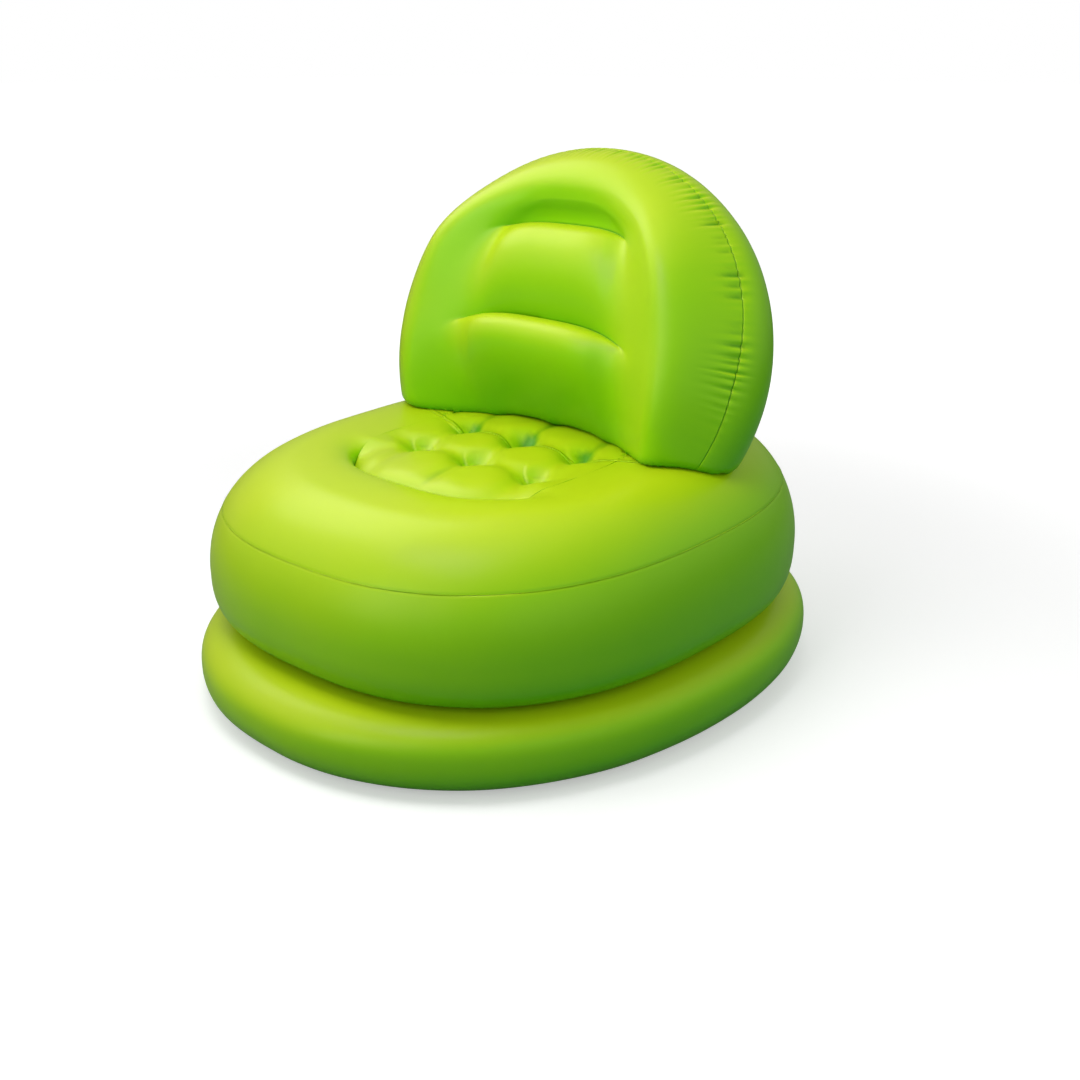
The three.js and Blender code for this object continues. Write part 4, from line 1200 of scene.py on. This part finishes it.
def make_plug_parts():
    """The plug, its strap and its loose ring, which are one moulding"""
    head_bottom = STEM_TOP + RUNNING_GAP
    head_top = head_bottom + HEAD_THICKNESS
    stub = STEM_BORE - RUNNING_GAP
    stub_bottom = head_bottom - STUB_LENGTH
    plug = turned(rounded([
        (0, head_bottom - STUB_WALL), (stub - STUB_WALL, stub_bottom), (stub, stub_bottom),
        (stub, head_bottom), (STEM_COLLAR, head_bottom), (STEM_COLLAR, head_top - HEAD_BEVEL_DROP),
        (STEM_COLLAR - HEAD_BEVEL_WIDTH, head_top), (stub - DIMPLE_INSETS[0], head_top),
        (stub - DIMPLE_INSETS[1], head_top - DIMPLE_DEPTH), (0, head_top - DIMPLE_DEPTH),
    ], MOULD_ROUNDING))
    tether_top = TETHER_BOTTOM + TETHER_THICKNESS
    ring_profile = box(TETHER_INNER, TETHER_INNER + TETHER_WIDTH, TETHER_BOTTOM, tether_top)
    ring = turned(rounded(ring_profile, MOULD_ROUNDING))
    half = TETHER_THICKNESS / 2
    strap_line = STRAP_INNER + half
    strap_top = head_top - half - HEAD_BEVEL_DROP
    path = rounded([
        (STEM_COLLAR - STRAP_LAP, strap_top), (strap_line, strap_top),
        (strap_line, TETHER_BOTTOM + half), (TETHER_INNER + half, TETHER_BOTTOM + half)],
        STRAP_BEND, closed=False, steps=10)
    return plug, ring, swept(path, STRAP_WIDTH, TETHER_THICKNESS)


def make_flap():
    top = STEM_BOTTOM - RUNNING_GAP
    bottom = top - FLAP_THICKNESS
    return turned(rounded(box(0, STEM_COLLAR, bottom, top), FLAP_ROUNDING))


def add_valve(prefix, place, tree):
    """Four mouldings, of which the plug is joined from three closed bodies."""
    mouldings = {
        "welded_cup": ([make_cup(place, tree)], cup_vinyl, "valve_cup"),
        "moulded_stem": ([make_stem()], cup_vinyl, "valve_cup"),
        "tethered_plug": (make_plug_parts(), plug_vinyl, "valve_plug"),
        "check_flap": ([make_flap()], plug_vinyl, "valve_plug"),
    }
    for name, (parts, material, slot) in mouldings.items():
        kind = name.split("_")[1]
        first, *others = [make_piece(f"{prefix}_valve_{name}", placed(points, place), faces)
                          for points, faces in parts]
        for other in others:
            cut_away(first, other, operation="UNION")
        first.data.set_sharp_from_angle(angle=MOULD_SHARP_ANGLE)
        body = "chair" if kind == "cup" else f"{prefix}_{kind}"
        finish_piece(first, f"{prefix}_valve_{kind}", material, body)


HOLE_RADIUS = CUP_OUTER + WELD_GAP
back_valve = back_valve_frame()
seat_valve = seat_valve_frame()
add_valve("backrest", back_valve, seat_tree((rear_points, rear_faces)))
add_valve("seat", seat_valve, seat_tree(lower_surface))

finish_skin(base_piece, "base_ring_wall")
finish_skin(lower_piece, "seat_lower_wall", hole=rod(HOLE_RADIUS, seat_valve))
finish_skin(upper_piece, "seat_upper_wall")
panel_piece.data.set_sharp_from_angle(angle=math.radians(70))
finish_skin(panel_piece, "seat_tufted_panel")
finish_skin(front_piece, "backrest_front_panel")
finish_skin(rear_piece, "backrest_rear_panel", hole=rod(HOLE_RADIUS, back_valve))


# The sheets inside: bottom panel, divider, posts and beams

def plate(shape, height):
    x, y = square_to_oval(shape, PLATE_CELLS)
    points = np.stack([x.ravel(), y.ravel(), np.full(x.size, float(height))], 1)
    return points, grid_faces(PLATE_CELLS + 1, PLATE_CELLS + 1)


bottom_piece = make_piece("base_bottom_sheet", *plate(foot_oval, SHEET_WALL / 2))
thicken(bottom_piece, 0)
mark_creases(bottom_piece)
finish_piece(bottom_piece, "base_bottom_panel", skin)

divider_ports = [rod(DIVIDER_PORT_RADIUS, Matrix.Translation((
    side * DIVIDER_PORT_ACROSS, waist_oval[2] + end * DIVIDER_PORT_ALONG / 2, BASE_HEIGHT)))
    for side in (-1, 1) for end in (-1, 1)]
add_tie("waist_divider_sheet", plate(waist_oval, BASE_HEIGHT), "waist_divider", divider_ports)


def tie_post(radius, x, y, bottom, top_at):
    """A rolled tube of sheet, whose top follows the skin that it ties down."""
    inner = radius - SHEET_WALL
    points, faces = turned(box(inner, radius, 0, 1), POST_STEPS)
    high = points[:, 2] > 0.5
    points[:, :2] += (x, y)
    points[:, 2] = np.where(high, top_at(points[:, 0], points[:, 1]), bottom)
    return points, faces


def under_cushion(x, y):
    share = np.minimum(oval_share(well_oval, x, y), 1)
    return lift_seat(np.stack([x, y, cushion_height(x, y, share)], 1))[:, 2] - TIE_CLEARANCE


def under_divider(x, y):
    return divider_bottom - WELD_GAP


posts = (("tuft_tie", "seat_tuft_post", TUFT_POST_RADIUS, divider_top + WELD_GAP, under_cushion),
         ("base_tie", "base_tie_post", BASE_POST_RADIUS, SHEET_WALL + WELD_GAP, under_divider))
for number, tuft in enumerate(tufts, 1):
    for name, node, radius, bottom, top_at in posts:
        post = make_piece(f"{name}_{number}", *tie_post(radius, *tuft, bottom, top_at))
        finish_piece(post, f"{node}_{number}", inner_sheet)


def beam_sheet(line):
    """Sheet on edge behind a crease, from the front panel to the rear panel."""
    x, y, front = line.T
    rear = -half_forward * np.sqrt(np.clip(1 - (x / half_across) ** 2 - (y / half_up) ** 2, 0, 1))
    shares = np.linspace(0, 1, BEAM_ROWS + 1)
    depths = [mix(rear + TIE_CLEARANCE, front - TIE_CLEARANCE, share) for share in shares]
    points = np.concatenate([stand_back(np.stack([x, y, depth], 1)) for depth in depths])
    return rest_on(points, on_seat, gap=TIE_CLEARANCE), grid_faces(len(shares), len(line))


def back_port(x, y, axis):
    turn = Vector((0, 0, 1)).rotation_difference(Vector(axis)).to_matrix().to_4x4()
    return rod(BEAM_PORT_RADIUS, back_place @ Matrix.Translation((x, y, 0)) @ turn, BACK_WIDTH)


inner_columns = np.abs(patch_sides) <= BEAM_END_SHARE
crease_rows = {"lower": (LOWER_ROWS, LOWER_CREASE), "upper": (LOWER_ROWS + UPPER_ROWS, UPPER_CREASE)}
for name, (row, crease) in crease_rows.items():
    beam_up = crease["up"][0] * half_up
    ports = [back_port(side * BEAM_PORT_SPACING, beam_up, (0, 1, 0)) for side in (-1, 0, 1)]
    beam = beam_sheet(eased_patch[row][inner_columns])
    add_tie(f"{name}_crease_tie", beam, f"backrest_{name}_beam", ports)

arch_line = eased_patch.reshape(-1, 3)[border][:1 - BOLSTER_COLUMNS]
arch_port = back_port(0, ARCH_PORT_HEIGHT, (1, 0, 0))
add_tie("arch_tie", beam_sheet(arch_line), "backrest_arch_beam", [arch_port])


# Floor, light and camera, in metres

FLOOR_REACH = 40
FLOOR_DROP = 0.0005
FLOOR_FADE_FROM = 0.9
FLOOR_FADE_TO = 2.6
WORLD_LIGHT = 0.27
LAMP_TARGET = (0, 0, 0.45)
SEAT_TARGET = (0.05, 0.05, 0.6)
CAMERA_AZIMUTH = 42.34
CAMERA_ELEVATION = 20.6
CAMERA_DISTANCE = 1.98
CAMERA_TARGET = (0.0561, 0, 0.1982)
CAMERA_LENS = 43.2
CAMERA_SENSOR = 36


def show_camera(tree, output, seen, other):
    """The camera sees one shader, and every other ray meets the other one."""
    paths = node_of(tree, "LightPath")
    chosen = node_of(tree, "MixShader", paths.outputs["Is Camera Ray"], other, seen)
    wire(tree.nodes[output], Surface=chosen)


def make_floor():
    mesh = bpy.data.meshes.new("floor")
    corners = [(x * FLOOR_REACH, y * FLOOR_REACH, 0) for x, y in ((-1, -1), (1, -1), (1, 1), (-1, 1))]
    mesh.from_pydata(corners, [], [(0, 1, 2, 3)])
    floor = bpy.data.objects.new("floor", mesh)
    floor.location.z = -FLOOR_DROP
    bpy.context.scene.collection.objects.link(floor)
    material, tree = new_material("pale_floor")
    plain = wire(tree.nodes["Principled BSDF"], Base_Color=(0.8, 0.8, 0.8, 1), Roughness=0.9,
                 Specular_IOR_Level=0.0)
    place = node_of(tree, "TexCoord").outputs["Object"]
    away = node_of(tree, "VectorMath", place, operation="LENGTH")
    fade = node_of(tree, "MapRange", interpolation_type="SMOOTHSTEP", Value=away.outputs["Value"],
                   From_Min=FLOOR_FADE_FROM, From_Max=FLOOR_FADE_TO, To_Min=0.4, To_Max=0.85)
    glow = node_of(tree, "Emission", Strength=fade)
    # The chair's sheet sees a darker floor than the camera does, so that its underside stays deep green.
    dim = node_of(tree, "BsdfDiffuse", Color=(0.34, 0.38, 0.28, 1))
    show_camera(tree, "Material Output", node_of(tree, "AddShader", plain, glow), dim)
    mesh.materials.append(material)


def make_world():
    world = bpy.data.worlds.new("studio")
    bpy.context.scene.world = world
    world.use_nodes = True
    tree = world.node_tree
    plain = wire(tree.nodes["Background"], Color=(1, 1, 1, 1), Strength=WORLD_LIGHT)
    show_camera(tree, "World Output", node_of(tree, "Background", Color=(1, 1, 1, 1), Strength=1.0), plain)


def aim(data, azimuth, elevation, distance, target):
    """Stands a lamp or a camera off its target, by its direction in degrees, and turns it that way."""
    turn, rise = math.radians(azimuth), math.radians(elevation)
    away = Vector((math.sin(turn) * math.cos(rise), -math.cos(turn) * math.cos(rise), math.sin(rise)))
    holder = bpy.data.objects.new(data.name, data)
    holder.location = Vector(target) + away * distance
    holder.rotation_mode = "QUATERNION"
    holder.rotation_quaternion = (-away).to_track_quat("-Z", "Y")
    bpy.context.scene.collection.objects.link(holder)
    return holder


def make_lamp(name, azimuth, elevation, distance, size, power, mirrored=False, target=LAMP_TARGET):
    """A soft lamp, which lights the sheet or, where it is mirrored, only gives it a sheen."""
    lamp = bpy.data.lights.new(name, "AREA")
    lamp.shape = "RECTANGLE"
    lamp.size, lamp.size_y = size
    lamp.energy = power
    holder = aim(lamp, azimuth, elevation, distance, target)
    holder.visible_glossy = mirrored
    holder.visible_diffuse = not mirrored


def make_camera():
    data = bpy.data.cameras.new("camera")
    data.lens = CAMERA_LENS
    data.sensor_width = CAMERA_SENSOR
    camera = aim(data, CAMERA_AZIMUTH, CAMERA_ELEVATION, CAMERA_DISTANCE, CAMERA_TARGET)
    bpy.context.scene.camera = camera


make_floor()
make_world()
make_lamp("left", -50, 34, 2.0, size=(1.3, 1.5), power=9.5)
make_lamp("front", 5, 22, 2.4, size=(1.5, 1.2), power=9.5)
make_lamp("top", -30, 82, 1.8, size=(1.5, 1.5), power=7.5)
make_lamp("right", 75, 14, 2.4, size=(2.0, 1.4), power=6.5)
make_lamp("right_back", 125, 22, 2.4, size=(1.6, 1.4), power=8)
make_lamp("back", -165, 35, 2.4, size=(1.8, 1.8), power=9)
make_lamp("over_seat", 5, 44, 0.95, size=(0.7, 0.5), power=5.5, target=SEAT_TARGET)
make_lamp("left_sheen", -88, 46, 1.8, size=(1.4, 1.2), power=9, mirrored=True)
make_lamp("front_sheen", -10, 16, 2.4, size=(0.8, 1.3), power=3, mirrored=True)
make_camera()
bpy.context.scene.view_settings.view_transform = "Standard"
